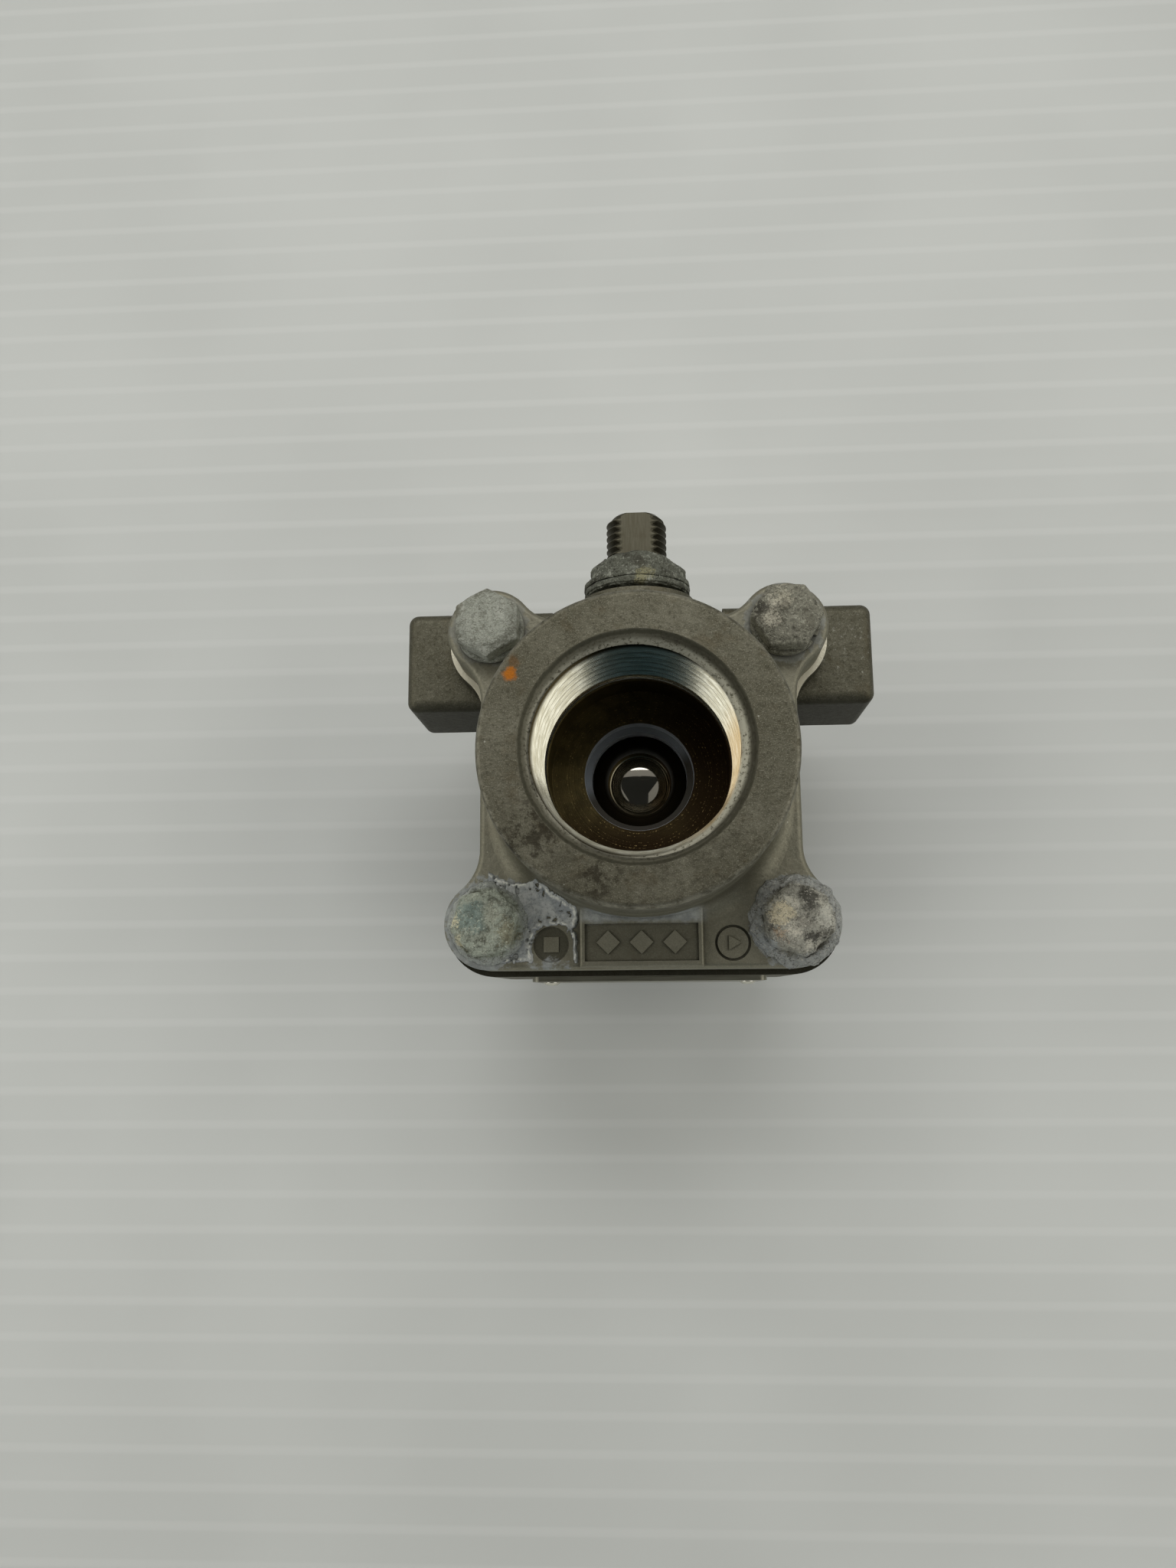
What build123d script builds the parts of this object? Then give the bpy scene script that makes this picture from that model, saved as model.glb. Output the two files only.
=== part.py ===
from build123d import *
import math
import os

# Three-piece ball valve, 1 in NPT, bare stem, closed.
# It stands on its rear end face: +Z is the bore axis, +Y is the stem axis, +X is to the right.
# Every function below builds about the ball's centre, with the front of the valve towards +Z and
# the stem towards +Y. The last section moves the pieces so that the rear end face lies on z = 0.
# Lengths are in millimetres. "Axial" is measured along the bore from the ball's centre.

# Overall
HALF_LENGTH = 43.0

# Body bolts and the four-lug outline that the caps and the body share
BOLT_SPACING = 48.2
BOLT_RADIUS = 3.1
BOLT_HOLE_RADIUS = 3.4
CAP_LUG_RADIUS = 7.2
CAP_WAIST = 25.7
BODY_LUG_RADIUS = 8.1
BODY_WAIST = 26.5
LUG_BLEND = 8.0
BODY_HALF_WIDTH = 13.7

# End cap, outside
FLANGE_FACE = 22.6
FLANGE_EDGE_ROUND = 0.9
HUB_RADIUS = 23.5
HUB_FILLET = 1.2
HUB_EDGE_ROUND = 0.9
PAD_WIDTH = 19.3
PAD_HEIGHT = 1.3
PAD_TOP = -19.5
PAD_BOTTOM_MARGIN = 0.3
PAD_EDGE_ROUND = 0.4
PANEL_DEPTH = 0.45
PANEL_SIDE_MARGIN = 0.8
PANEL_BOTTOM_MARGIN = 1.2
PANEL_TOP = -24.3
STUD_SIDE = 2.6
STUD_SPACING = 5.2
MARK_RADIUS = 2.8
MARK_LINE = 0.4
MARK_DEPTH = 0.4
MARK_SQUARE_SIDE = 2.4
MARK_TRIANGLE_RADIUS = 1.3
MARK_X = 14.2
MARK_Y = -27.4

# End cap, inside
THREAD_MOUTH_RADIUS = 15.0
THREAD_DEPTH = 1.7
THREAD_PITCH = 25.4 / 11.5
THREAD_COUNT = 7
THREAD_TAPER = 1 / 32
THREAD_ROOT_WIDTH = 0.12
THREAD_HALF_ANGLE = 30.0
MOUTH_RADIUS = 17.44
CHAMBER_RADIUS = 14.4
SHOULDER = 18.0
PORT_RADIUS = 8.95
SPIGOT_RADIUS = 17.4
SPIGOT_END = 10.9
SEAT_POCKET_RADIUS = 12.45
SEAT_POCKET_FLOOR = 15.6

# Body
CAVITY_RADIUS = 15.6
COUNTERBORE_RADIUS = 17.45
COUNTERBORE_FLOOR = 9.3
EAR_REACH = 40.7
EAR_INNER = 15.0
EAR_BOTTOM = 14.0
EAR_TOP = 31.7
EAR_HALF_DEPTH = 9.7
EAR_ROUND = 1.8
EAR_HOLE_X = 33.5
EAR_HOLE_RADIUS = 2.55
EAR_HOLE_DEPTH = 11.0
BOSS_RADIUS = 10.4
BOSS_TOP = 35.6
BOSS_FLARE = 1.6
PACKING_CHAMBER_RADIUS = 8.0
PACKING_FLOOR = 22.0
STEM_BORE_RADIUS = 5.7
COLLAR_POCKET_RADIUS = 7.7
COLLAR_POCKET_TOP = 18.2

# Ball and seats
BALL_RADIUS = 15.0
BALL_BORE_RADIUS = 7.9
BALL_BORE_CHAMFER = 0.35
SLOT_WIDTH = 6.0
SLOT_FLOOR = 10.8
SEAT_GAP = 0.1
SEAT_OUTER_RADIUS = 12.4
SEAT_LIP = 9.9
SEAL_INNER_RADIUS = 15.7

# Stem, from the tang in the ball to the threaded end
TANG_WIDTH = 5.8
TANG_LENGTH = 10.8
TANG_BOTTOM = 10.9
COLLAR_BOTTOM = 15.3
COLLAR_TOP = 17.15
COLLAR_RADIUS = 7.4
STEM_RADIUS = 5.55
STEM_THREAD_START = 33.6
STEM_TOP = 52.0
STEM_ROOT_RADIUS = 4.78
STEM_PITCH = 1.27
STEM_GROOVE_START = 0.4
STEM_GROOVE_END = 0.5
STEM_CREST_START = 0.9
STEM_TIP_CHAMFER = 1.2
STEM_ACROSS_FLATS = 7.94
STEM_FLATS_BOTTOM = 43.9

# Stem packing, gland and washers
THRUST_WASHER_RADIUS = 7.6
THRUST_WASHER_GAP = 0.1
PACKING_INNER_RADIUS = 5.6
PACKING_OUTER_RADIUS = 7.95
PACKING_HEIGHT = 3.0
PACKING_VEE = 0.8
GLAND_INNER_RADIUS = 5.75
GLAND_OUTER_RADIUS = 7.9
GLAND_TOP = 36.2
BELLEVILLE_RADIUS = 9.7
BELLEVILLE_THICKNESS = 1.1
BELLEVILLE_HEIGHT = 1.75
BELLEVILLE_GAP = 0.05
GLAND_NUT_ACROSS_FLATS = 17.3
GLAND_NUT_TURN = 2.0
GLAND_NUT_TOP = 43.6
GLAND_NUT_CLEARANCE = 0.03

# Body bolts, lock washers and nuts
HEX_ACROSS_FLATS = 9.5
HEAD_HEIGHT = 3.8
WASHER_THICKNESS = 1.5
WASHER_INNER_RADIUS = 3.3
WASHER_OUTER_RADIUS = 5.6
WASHER_SLIT = 1.0
WASHER_SLIT_LEAN = 20.0
NUT_HEIGHT = 4.9
NUT_BORE_RADIUS = 3.15
BOLT_TIP_REACH = 2.2
BOLT_PITCH = 1.27
BOLT_ROOT_RADIUS = 2.45
BOLT_TIP_CHAMFER = 0.8
BOLT_ROOT_START = 0.45
BOLT_CREST_START = 0.9
NUT_CHAMFER = (0.96, 36.0)
HEAD_CHAMFER = (0.78, 25.0)
HEAD_TURNS = (30.0, 0.0, 12.0, 41.0)
NUT_TURNS = (8.0, 22.0, 35.0, 17.0)
SLIT_TURNS = (200.0, 330.0, 75.0, 140.0)

# Nameplate and its drive pins
PLATE_LENGTH = 39.0
PLATE_WIDTH = 20.0
PLATE_THICKNESS = 0.8
PLATE_CORNER = 1.2
PLATE_OFFSET = 1.0
PIN_SPACING = 34.0
PIN_RADIUS = 0.9
PIN_HEAD_RADIUS = 1.5
PIN_HEAD_HEIGHT = 0.6
PIN_DOME_RADIUS = 0.9
PIN_DOME_START = 0.5
PIN_RIM_HEIGHT = 0.12
PIN_LENGTH = 4.6
PIN_HOLE_DEPTH = 4.0

BIG = 200.0
BODY_BOTTOM = -(BOLT_SPACING / 2 + BODY_LUG_RADIUS)
CAP_BOTTOM = -(BOLT_SPACING / 2 + CAP_LUG_RADIUS)
BOLT_PLACES = [
    (-BOLT_SPACING / 2, BOLT_SPACING / 2),
    (BOLT_SPACING / 2, BOLT_SPACING / 2),
    (-BOLT_SPACING / 2, -BOLT_SPACING / 2),
    (BOLT_SPACING / 2, -BOLT_SPACING / 2),
]
STEM_AXIS = Rot(-90, 0, 0)
HEAD_SEAT = FLANGE_FACE + WASHER_THICKNESS


def turned(*points):
    """A solid turned about Z from a closed outline of (radius, height) points."""
    outline = make_face(Polyline(*points, close=True))
    return revolve(Plane.XZ * outline, Axis.Z)


def ring(inner, outer, bottom, top):
    """A plain ring about Z."""
    return turned((inner, bottom), (outer, bottom), (outer, top), (inner, top))


def rod(radius, bottom, top):
    """A round bar about Z."""
    return Pos(0, 0, (bottom + top) / 2) * Cylinder(radius, top - bottom)


def block(x0, x1, y0, y1, z0, z1):
    """A box given by its limits."""
    centre = Pos((x0 + x1) / 2, (y0 + y1) / 2, (z0 + z1) / 2)
    return centre * Box(x1 - x0, y1 - y0, z1 - z0)


def edges_at(solid, height, radius=None):
    """The edges that lie at one height along Z, or the circles of one radius there."""
    found = solid.edges().filter_by_position(Axis.Z, height, height)
    if radius is None:
        return found
    circles = found.filter_by(GeomType.CIRCLE)
    return [e for e in circles if abs(e.radius - radius) < 0.01]


def lug_outline(lug_radius, waist):
    """The square outline with four lugs: waisted on three sides, and full along the bottom."""
    reach = BOLT_SPACING / 2
    outline = Rectangle(2 * waist, 2 * waist)
    outline += Pos(0, -(reach + lug_radius) / 2) * Rectangle(BOLT_SPACING, reach + lug_radius)
    for x, y in BOLT_PLACES:
        outline += Pos(x, y) * Circle(lug_radius)
    inner_corners = [
        v for v in outline.vertices()
        if abs(abs(v.X) - waist) < 0.01 or abs(v.Y - waist) < 0.01
    ]
    return fillet(inner_corners, LUG_BLEND)


def bolt_holes(bottom, top):
    """The four bolt holes, as rods to cut away."""
    return [Pos(x, y, 0) * rod(BOLT_HOLE_RADIUS, bottom, top) for x, y in BOLT_PLACES]


def cap_bore():
    """What is cut out of an end cap: mouth, tapered thread, chamber, port and seat pocket."""
    mouth_start = HALF_LENGTH - (MOUTH_RADIUS - THREAD_MOUTH_RADIUS)
    half_root = THREAD_ROOT_WIDTH / 2
    half_open = half_root + THREAD_DEPTH * math.tan(math.radians(THREAD_HALF_ANGLE))

    def on_taper(height, depth):
        return (THREAD_MOUTH_RADIUS - THREAD_TAPER * (mouth_start - height) + depth, height)

    thread = [on_taper(mouth_start, 0)]
    for i in range(THREAD_COUNT):
        centre = mouth_start - (i + 0.5) * THREAD_PITCH
        thread.append(on_taper(centre + half_open, 0))
        thread.append(on_taper(centre + half_root, THREAD_DEPTH))
        thread.append(on_taper(centre - half_root, THREAD_DEPTH))
        thread.append(on_taper(centre - half_open, 0))
    thread_end = mouth_start - THREAD_COUNT * THREAD_PITCH
    return turned(
        (0, HALF_LENGTH + 1),
        (MOUTH_RADIUS + 1, HALF_LENGTH + 1),
        *thread,
        on_taper(thread_end, 0),
        (CHAMBER_RADIUS, thread_end),
        (CHAMBER_RADIUS, SHOULDER),
        (PORT_RADIUS, SHOULDER),
        (PORT_RADIUS, SEAT_POCKET_FLOOR),
        (SEAT_POCKET_RADIUS, SEAT_POCKET_FLOOR),
        (SEAT_POCKET_RADIUS, SPIGOT_END - 1),
        (0, SPIGOT_END - 1),
    )


def foundry_pad():
    """The raised pad below the hub, with a sunk panel that carries three plain studs."""
    top = FLANGE_FACE + PAD_HEIGHT
    floor = top - PANEL_DEPTH
    half = PAD_WIDTH / 2
    pad = block(-half, half, CAP_BOTTOM + PAD_BOTTOM_MARGIN, PAD_TOP, BODY_HALF_WIDTH, top)
    rim = edges_at(pad, top)
    pad = fillet(rim.filter_by(Axis.Y) + rim.sort_by(Axis.Y)[:1], PAD_EDGE_ROUND)
    half -= PANEL_SIDE_MARGIN
    panel_bottom = CAP_BOTTOM + PANEL_BOTTOM_MARGIN
    pad -= block(-half, half, panel_bottom, PANEL_TOP, floor, top + 1)
    stud = Rot(0, 0, 45) * Box(STUD_SIDE, STUD_SIDE, 2 * MARK_DEPTH)
    for i in (-1, 0, 1):
        pad += Pos(i * STUD_SPACING, (panel_bottom + PANEL_TOP) / 2, floor) * stud
    return pad


def end_cap():
    """One end cap: hub, four-lug flange, spigot and bore. Both ends use the same casting."""
    cap = extrude(
        Pos(0, 0, BODY_HALF_WIDTH) * lug_outline(CAP_LUG_RADIUS, CAP_WAIST),
        FLANGE_FACE - BODY_HALF_WIDTH,
    )
    cap = fillet(edges_at(cap, FLANGE_FACE), FLANGE_EDGE_ROUND)
    cap += turned(
        (0, BODY_HALF_WIDTH),
        (HUB_RADIUS, BODY_HALF_WIDTH),
        (HUB_RADIUS, HALF_LENGTH),
        (0, HALF_LENGTH),
    )
    cap = fillet(edges_at(cap, FLANGE_FACE, HUB_RADIUS), HUB_FILLET)
    cap = fillet(edges_at(cap, HALF_LENGTH, HUB_RADIUS), HUB_EDGE_ROUND)
    cap += foundry_pad()
    cap += rod(SPIGOT_RADIUS, SPIGOT_END, BODY_HALF_WIDTH)
    cap -= cap_bore()
    for hole in bolt_holes(BODY_HALF_WIDTH - 1, FLANGE_FACE + 1):
        cap -= hole
    floor = FLANGE_FACE - MARK_DEPTH
    left = Pos(-MARK_X, MARK_Y, 0)
    right = Pos(MARK_X, MARK_Y, 0)
    cap -= left * rod(MARK_RADIUS, floor, FLANGE_FACE + 1)
    cap += left * Pos(0, 0, floor) * Box(MARK_SQUARE_SIDE, MARK_SQUARE_SIDE, MARK_DEPTH)
    cap -= right * ring(MARK_RADIUS - MARK_LINE, MARK_RADIUS, floor, FLANGE_FACE + 1)
    triangle = extrude(RegularPolygon(MARK_TRIANGLE_RADIUS, 3), 2 * MARK_DEPTH)
    cap += right * Pos(0, 0, floor) * triangle
    return cap


def ear(side):
    """A mounting ear: a block with rounded edges and a blind tapped hole in its top."""
    inner, outer = sorted((side * EAR_INNER, side * EAR_REACH))
    lug = block(inner, outer, EAR_BOTTOM, EAR_TOP, -EAR_HALF_DEPTH, EAR_HALF_DEPTH)
    outer_face = lug.faces().sort_by(Axis.X)[-1 if side > 0 else 0]
    along = lug.edges().filter_by(Axis.X)
    return fillet(outer_face.edges() + along, EAR_ROUND)


def body_block():
    """The centre section: four-lug block, ears, stem boss, ball cavity and stem bores."""
    solid = extrude(
        Pos(0, 0, -BODY_HALF_WIDTH) * lug_outline(BODY_LUG_RADIUS, BODY_WAIST),
        2 * BODY_HALF_WIDTH,
    )
    solid += ear(-1)
    solid += ear(1)
    for side in (-1, 1):
        inner, outer = sorted((side * BOSS_RADIUS, side * BIG))
        solid -= block(inner, outer, EAR_TOP, BIG, -BIG, BIG)
    solid += STEM_AXIS * turned(
        (0, BODY_WAIST - BOSS_FLARE),
        (BOSS_RADIUS + 2 * BOSS_FLARE, BODY_WAIST - BOSS_FLARE),
        (BOSS_RADIUS, BODY_WAIST + BOSS_FLARE),
        (BOSS_RADIUS, BOSS_TOP),
        (0, BOSS_TOP),
    )
    solid -= rod(CAVITY_RADIUS, -BIG, BIG)
    solid -= rod(COUNTERBORE_RADIUS, COUNTERBORE_FLOOR, BIG)
    solid -= rod(COUNTERBORE_RADIUS, -BIG, -COUNTERBORE_FLOOR)
    solid -= STEM_AXIS * rod(COLLAR_POCKET_RADIUS, 0, COLLAR_POCKET_TOP)
    solid -= STEM_AXIS * rod(STEM_BORE_RADIUS, 0, BIG)
    solid -= STEM_AXIS * rod(PACKING_CHAMBER_RADIUS, PACKING_FLOOR, BIG)
    for hole in bolt_holes(-BIG, BIG):
        solid -= hole
    for side in (-1, 1):
        tapped = rod(EAR_HOLE_RADIUS, EAR_TOP - EAR_HOLE_DEPTH, BIG)
        solid -= Pos(side * EAR_HOLE_X, 0, 0) * STEM_AXIS * tapped
        pin_hole = rod(PIN_RADIUS, BODY_BOTTOM - 1, BODY_BOTTOM + PIN_HOLE_DEPTH)
        solid -= Pos(PLATE_OFFSET + side * PIN_SPACING / 2, 0, 0) * STEM_AXIS * pin_hole
    return solid


def ball():
    """The ball, bored along X while closed, with the stem slot across the bore."""
    rim = math.sqrt(BALL_RADIUS**2 - BALL_BORE_RADIUS**2) - BALL_BORE_CHAMFER
    flare = BALL_RADIUS - rim
    bore = turned(
        (0, -BALL_RADIUS),
        (BALL_BORE_RADIUS + flare, -BALL_RADIUS),
        (BALL_BORE_RADIUS, -rim),
        (BALL_BORE_RADIUS, rim),
        (BALL_BORE_RADIUS + flare, BALL_RADIUS),
        (0, BALL_RADIUS),
    )
    half = SLOT_WIDTH / 2
    return Sphere(BALL_RADIUS) - Rot(0, 90, 0) * bore - block(-half, half, SLOT_FLOOR, BIG, -BIG, BIG)


def seat():
    """A seat ring: spherical towards the ball, square in the cap's pocket."""
    sphere = BALL_RADIUS + SEAT_GAP
    body = ring(BALL_BORE_RADIUS, SEAT_OUTER_RADIUS, SEAT_LIP, SEAT_POCKET_FLOOR)
    return body - Sphere(sphere)


def stem():
    """The stem: tang, blow-out collar, shank, and a threaded end with two flats."""
    points = [
        (0, COLLAR_BOTTOM),
        (COLLAR_RADIUS, COLLAR_BOTTOM),
        (COLLAR_RADIUS, COLLAR_TOP),
        (STEM_RADIUS, COLLAR_TOP),
        (STEM_RADIUS, STEM_THREAD_START),
    ]
    turns = int((STEM_TOP - STEM_TIP_CHAMFER - STEM_THREAD_START) / STEM_PITCH)
    for i in range(turns):
        y = STEM_THREAD_START + i * STEM_PITCH
        points.append((STEM_ROOT_RADIUS, y + STEM_GROOVE_START * STEM_PITCH))
        points.append((STEM_ROOT_RADIUS, y + STEM_GROOVE_END * STEM_PITCH))
        points.append((STEM_RADIUS, y + STEM_CREST_START * STEM_PITCH))
        points.append((STEM_RADIUS, y + STEM_PITCH))
    points.append((STEM_RADIUS, STEM_TOP - STEM_TIP_CHAMFER))
    points.append((STEM_RADIUS - STEM_TIP_CHAMFER, STEM_TOP))
    points.append((0, STEM_TOP))
    solid = STEM_AXIS * turned(*points)
    half_flat = STEM_ACROSS_FLATS / 2
    for side in (-1, 1):
        low, high = sorted((side * half_flat, side * BIG))
        solid -= block(-BIG, BIG, STEM_FLATS_BOTTOM, BIG, low, high)
    tang = block(
        -TANG_WIDTH / 2, TANG_WIDTH / 2, TANG_BOTTOM, COLLAR_BOTTOM, -TANG_LENGTH / 2, TANG_LENGTH / 2
    )
    tang &= STEM_AXIS * rod(TANG_LENGTH / 2, 0, BIG)
    return solid + tang


def packing_ring(bottom, vee_below, vee_above):
    """A packing ring, with a vee in its lower face, its upper face, or both."""
    middle = (PACKING_INNER_RADIUS + PACKING_OUTER_RADIUS) / 2
    top = bottom + PACKING_HEIGHT
    return STEM_AXIS * turned(
        (PACKING_INNER_RADIUS, bottom),
        (middle, bottom + vee_below),
        (PACKING_OUTER_RADIUS, bottom),
        (PACKING_OUTER_RADIUS, top),
        (middle, top + vee_above),
        (PACKING_INNER_RADIUS, top),
    )


def belleville(bottom, rises_outwards):
    """A coned disc spring. Two of them lie rim to rim."""
    rise = BELLEVILLE_HEIGHT - BELLEVILLE_THICKNESS
    inner, outer = (0, rise) if rises_outwards else (rise, 0)
    low = bottom + BELLEVILLE_THICKNESS
    return STEM_AXIS * turned(
        (GLAND_INNER_RADIUS, bottom + inner),
        (BELLEVILLE_RADIUS, bottom + outer),
        (BELLEVILLE_RADIUS, low + outer),
        (GLAND_INNER_RADIUS, low + inner),
    )


def hex_blank(across_flats, height, chamfer, chamfer_below, chamfer_above):
    """A hexagon prism from z = 0 up, with its corners turned off at one end or both.

    chamfer gives where the cone starts, as a share of the distance to a flat, and its slope in degrees.
    """
    start, slope = chamfer
    corner = across_flats / math.sqrt(3)
    inner = across_flats / 2 * start
    outer = corner + 0.01
    drop = (outer - inner) * math.tan(math.radians(slope))
    blank = extrude(RegularPolygon(corner, 6), height)
    below = [(inner, 0), (outer, drop)] if chamfer_below else [(outer, 0)]
    above = [(outer, height - drop), (inner, height)] if chamfer_above else [(outer, height)]
    return blank & turned((0, 0), *below, *above, (0, height))


def gland_nut():
    """The thin nut that loads the stem packing."""
    bottom = GLAND_TOP + 2 * BELLEVILLE_HEIGHT + 2 * BELLEVILLE_GAP
    nut = hex_blank(GLAND_NUT_ACROSS_FLATS, GLAND_NUT_TOP - bottom, NUT_CHAMFER, False, True)
    nut -= rod(STEM_RADIUS + GLAND_NUT_CLEARANCE, -1, BIG)
    return STEM_AXIS * Pos(0, 0, bottom) * Rot(0, 0, GLAND_NUT_TURN) * nut


def body_bolt(turn):
    """A hex-head body bolt about Z, from its head in front to its tip behind."""
    tip = -(HEAD_SEAT + NUT_HEIGHT + BOLT_TIP_REACH)
    thread_top = -(HEAD_SEAT + NUT_HEIGHT)
    points = [
        (0, tip),
        (BOLT_RADIUS - BOLT_TIP_CHAMFER, tip),
        (BOLT_RADIUS, tip + BOLT_TIP_CHAMFER),
    ]
    groove = tip + BOLT_TIP_CHAMFER
    while groove < thread_top:
        points.append((BOLT_ROOT_RADIUS, groove + BOLT_ROOT_START * BOLT_PITCH))
        points.append((BOLT_RADIUS, groove + BOLT_CREST_START * BOLT_PITCH))
        groove += BOLT_PITCH
    points.append((BOLT_RADIUS, HEAD_SEAT))
    points.append((0, HEAD_SEAT))
    head = hex_blank(HEX_ACROSS_FLATS, HEAD_HEIGHT, HEAD_CHAMFER, False, True)
    return turned(*points) + Pos(0, 0, HEAD_SEAT) * Rot(0, 0, turn) * head


def lock_washer(turn):
    """A split spring washer about Z, lying on z = 0."""
    washer = ring(WASHER_INNER_RADIUS, WASHER_OUTER_RADIUS, 0, WASHER_THICKNESS)
    slit = block(0, BIG, -WASHER_SLIT / 2, WASHER_SLIT / 2, -1, BIG)
    return Rot(0, 0, turn) * (washer - Rot(WASHER_SLIT_LEAN, 0, 0) * slit)


def hex_nut(turn):
    """A hex nut about Z, lying on z = 0."""
    nut = hex_blank(HEX_ACROSS_FLATS, NUT_HEIGHT, NUT_CHAMFER, True, True)
    return Rot(0, 0, turn) * (nut - rod(NUT_BORE_RADIUS, -1, BIG))


def nameplate():
    """The thin plate under the body. Its face is left blank."""
    corners = RectangleRounded(PLATE_LENGTH, PLATE_WIDTH, PLATE_CORNER)
    plate = extrude(corners, PLATE_THICKNESS)
    for side in (-1, 1):
        plate -= Pos(side * PIN_SPACING / 2, 0, 0) * rod(PIN_RADIUS, -1, BIG)
    return Pos(PLATE_OFFSET, BODY_BOTTOM - PLATE_THICKNESS, 0) * STEM_AXIS * plate


def nameplate_pin(side):
    """A dome-headed drive pin that holds one end of the nameplate."""
    face = BODY_BOTTOM - PLATE_THICKNESS
    pin = turned(
        (0, face - PIN_HEAD_HEIGHT),
        (PIN_DOME_RADIUS, face - PIN_DOME_START),
        (PIN_HEAD_RADIUS, face - PIN_RIM_HEIGHT),
        (PIN_HEAD_RADIUS, face),
        (PIN_RADIUS, face),
        (PIN_RADIUS, face + PIN_LENGTH),
        (0, face + PIN_LENGTH),
    )
    return Pos(PLATE_OFFSET + side * PIN_SPACING / 2, 0, 0) * STEM_AXIS * pin


# Placing the pieces: the front as built, and the rear turned half way round the stem axis
FRONT = Pos(0, 0, HALF_LENGTH)
REAR = Pos(0, 0, HALF_LENGTH) * Rot(0, 180, 0)

nodes = {
    "body": FRONT * body_block(),
    "front_cap": FRONT * end_cap(),
    "rear_cap": REAR * end_cap(),
    "ball": FRONT * ball(),
    "front_seat": FRONT * seat(),
    "rear_seat": REAR * seat(),
    "front_body_seal": FRONT * ring(SEAL_INNER_RADIUS, SPIGOT_RADIUS, COUNTERBORE_FLOOR, SPIGOT_END),
    "rear_body_seal": REAR * ring(SEAL_INNER_RADIUS, SPIGOT_RADIUS, COUNTERBORE_FLOOR, SPIGOT_END),
    "stem": FRONT * stem(),
    "stem_thrust_washer": FRONT * STEM_AXIS * ring(
        STEM_RADIUS + THRUST_WASHER_GAP,
        THRUST_WASHER_RADIUS,
        COLLAR_TOP + THRUST_WASHER_GAP,
        COLLAR_POCKET_TOP,
    ),
    "packing_lower": FRONT * packing_ring(PACKING_FLOOR, 0, PACKING_VEE),
    "packing_middle": FRONT * packing_ring(PACKING_FLOOR + PACKING_HEIGHT, PACKING_VEE, PACKING_VEE),
    "packing_upper": FRONT * packing_ring(PACKING_FLOOR + 2 * PACKING_HEIGHT, PACKING_VEE, 0),
    "gland_ring": FRONT * STEM_AXIS * ring(
        GLAND_INNER_RADIUS, GLAND_OUTER_RADIUS, PACKING_FLOOR + 3 * PACKING_HEIGHT, GLAND_TOP
    ),
    "belleville_lower": FRONT * belleville(GLAND_TOP + BELLEVILLE_GAP, True),
    "belleville_upper": FRONT * belleville(
        GLAND_TOP + BELLEVILLE_HEIGHT + 1.5 * BELLEVILLE_GAP, False
    ),
    "gland_nut": FRONT * gland_nut(),
    "nameplate": FRONT * nameplate(),
    "nameplate_pin_left": FRONT * nameplate_pin(-1),
    "nameplate_pin_right": FRONT * nameplate_pin(1),
}

for number, (x, y) in enumerate(BOLT_PLACES, start=1):
    i = number - 1
    at = FRONT * Pos(x, y, 0)
    nodes[f"body_bolt_{number}"] = at * body_bolt(HEAD_TURNS[i])
    nodes[f"front_lock_washer_{number}"] = at * Pos(0, 0, FLANGE_FACE) * lock_washer(SLIT_TURNS[i])
    nodes[f"rear_lock_washer_{number}"] = at * Pos(0, 0, -HEAD_SEAT) * lock_washer(-SLIT_TURNS[i])
    nodes[f"hex_nut_{number}"] = at * Pos(0, 0, -HEAD_SEAT - NUT_HEIGHT) * hex_nut(NUT_TURNS[i])

os.makedirs("parts", exist_ok=True)
for name, solid in nodes.items():
    export_step(solid, f"parts/{name}.step")
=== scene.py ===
import itertools
import math

import bmesh
import bpy
import numpy as np
from mathutils import Matrix, Vector


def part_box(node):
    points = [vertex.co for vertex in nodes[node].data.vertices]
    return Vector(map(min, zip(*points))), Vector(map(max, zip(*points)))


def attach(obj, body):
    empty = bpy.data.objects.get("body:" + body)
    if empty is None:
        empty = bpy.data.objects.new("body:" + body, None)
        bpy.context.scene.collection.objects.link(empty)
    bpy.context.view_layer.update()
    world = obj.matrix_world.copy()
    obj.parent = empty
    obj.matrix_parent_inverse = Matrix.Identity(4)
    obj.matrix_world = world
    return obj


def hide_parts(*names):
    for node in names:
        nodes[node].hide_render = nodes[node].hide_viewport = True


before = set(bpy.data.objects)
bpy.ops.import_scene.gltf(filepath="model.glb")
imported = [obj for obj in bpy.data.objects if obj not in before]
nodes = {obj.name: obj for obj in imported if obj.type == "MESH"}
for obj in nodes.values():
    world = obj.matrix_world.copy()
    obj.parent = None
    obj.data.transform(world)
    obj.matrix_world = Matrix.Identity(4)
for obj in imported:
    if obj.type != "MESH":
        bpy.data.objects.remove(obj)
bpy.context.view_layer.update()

# Places, in millimetres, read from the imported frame
MM = 0.001


def low_high(node):
    """The two corners of a node's box, in millimetres."""
    low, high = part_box(node)
    return np.array(low) / MM, np.array(high) / MM


BALL = sum(low_high("ball")) / 2
FRONT_FACE = low_high("front_cap")[1][2]
FLANGE = low_high("front_lock_washer_1")[0][2]
BODY_FACE = low_high("body")[1][2] - BALL[2]
SEAT_FACE = low_high("front_seat")[1][2] - BALL[2]
WASHER_TOP = low_high("front_lock_washer_1")[1][2]
STEM_TOP = low_high("stem")[1][1]
NUT_TOP = low_high("gland_nut")[1][1]
BOLTS = [(sum(low_high(f"body_bolt_{n}")) / 2)[:2] for n in (1, 2, 3, 4)]
LENGTH = FRONT_FACE

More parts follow.
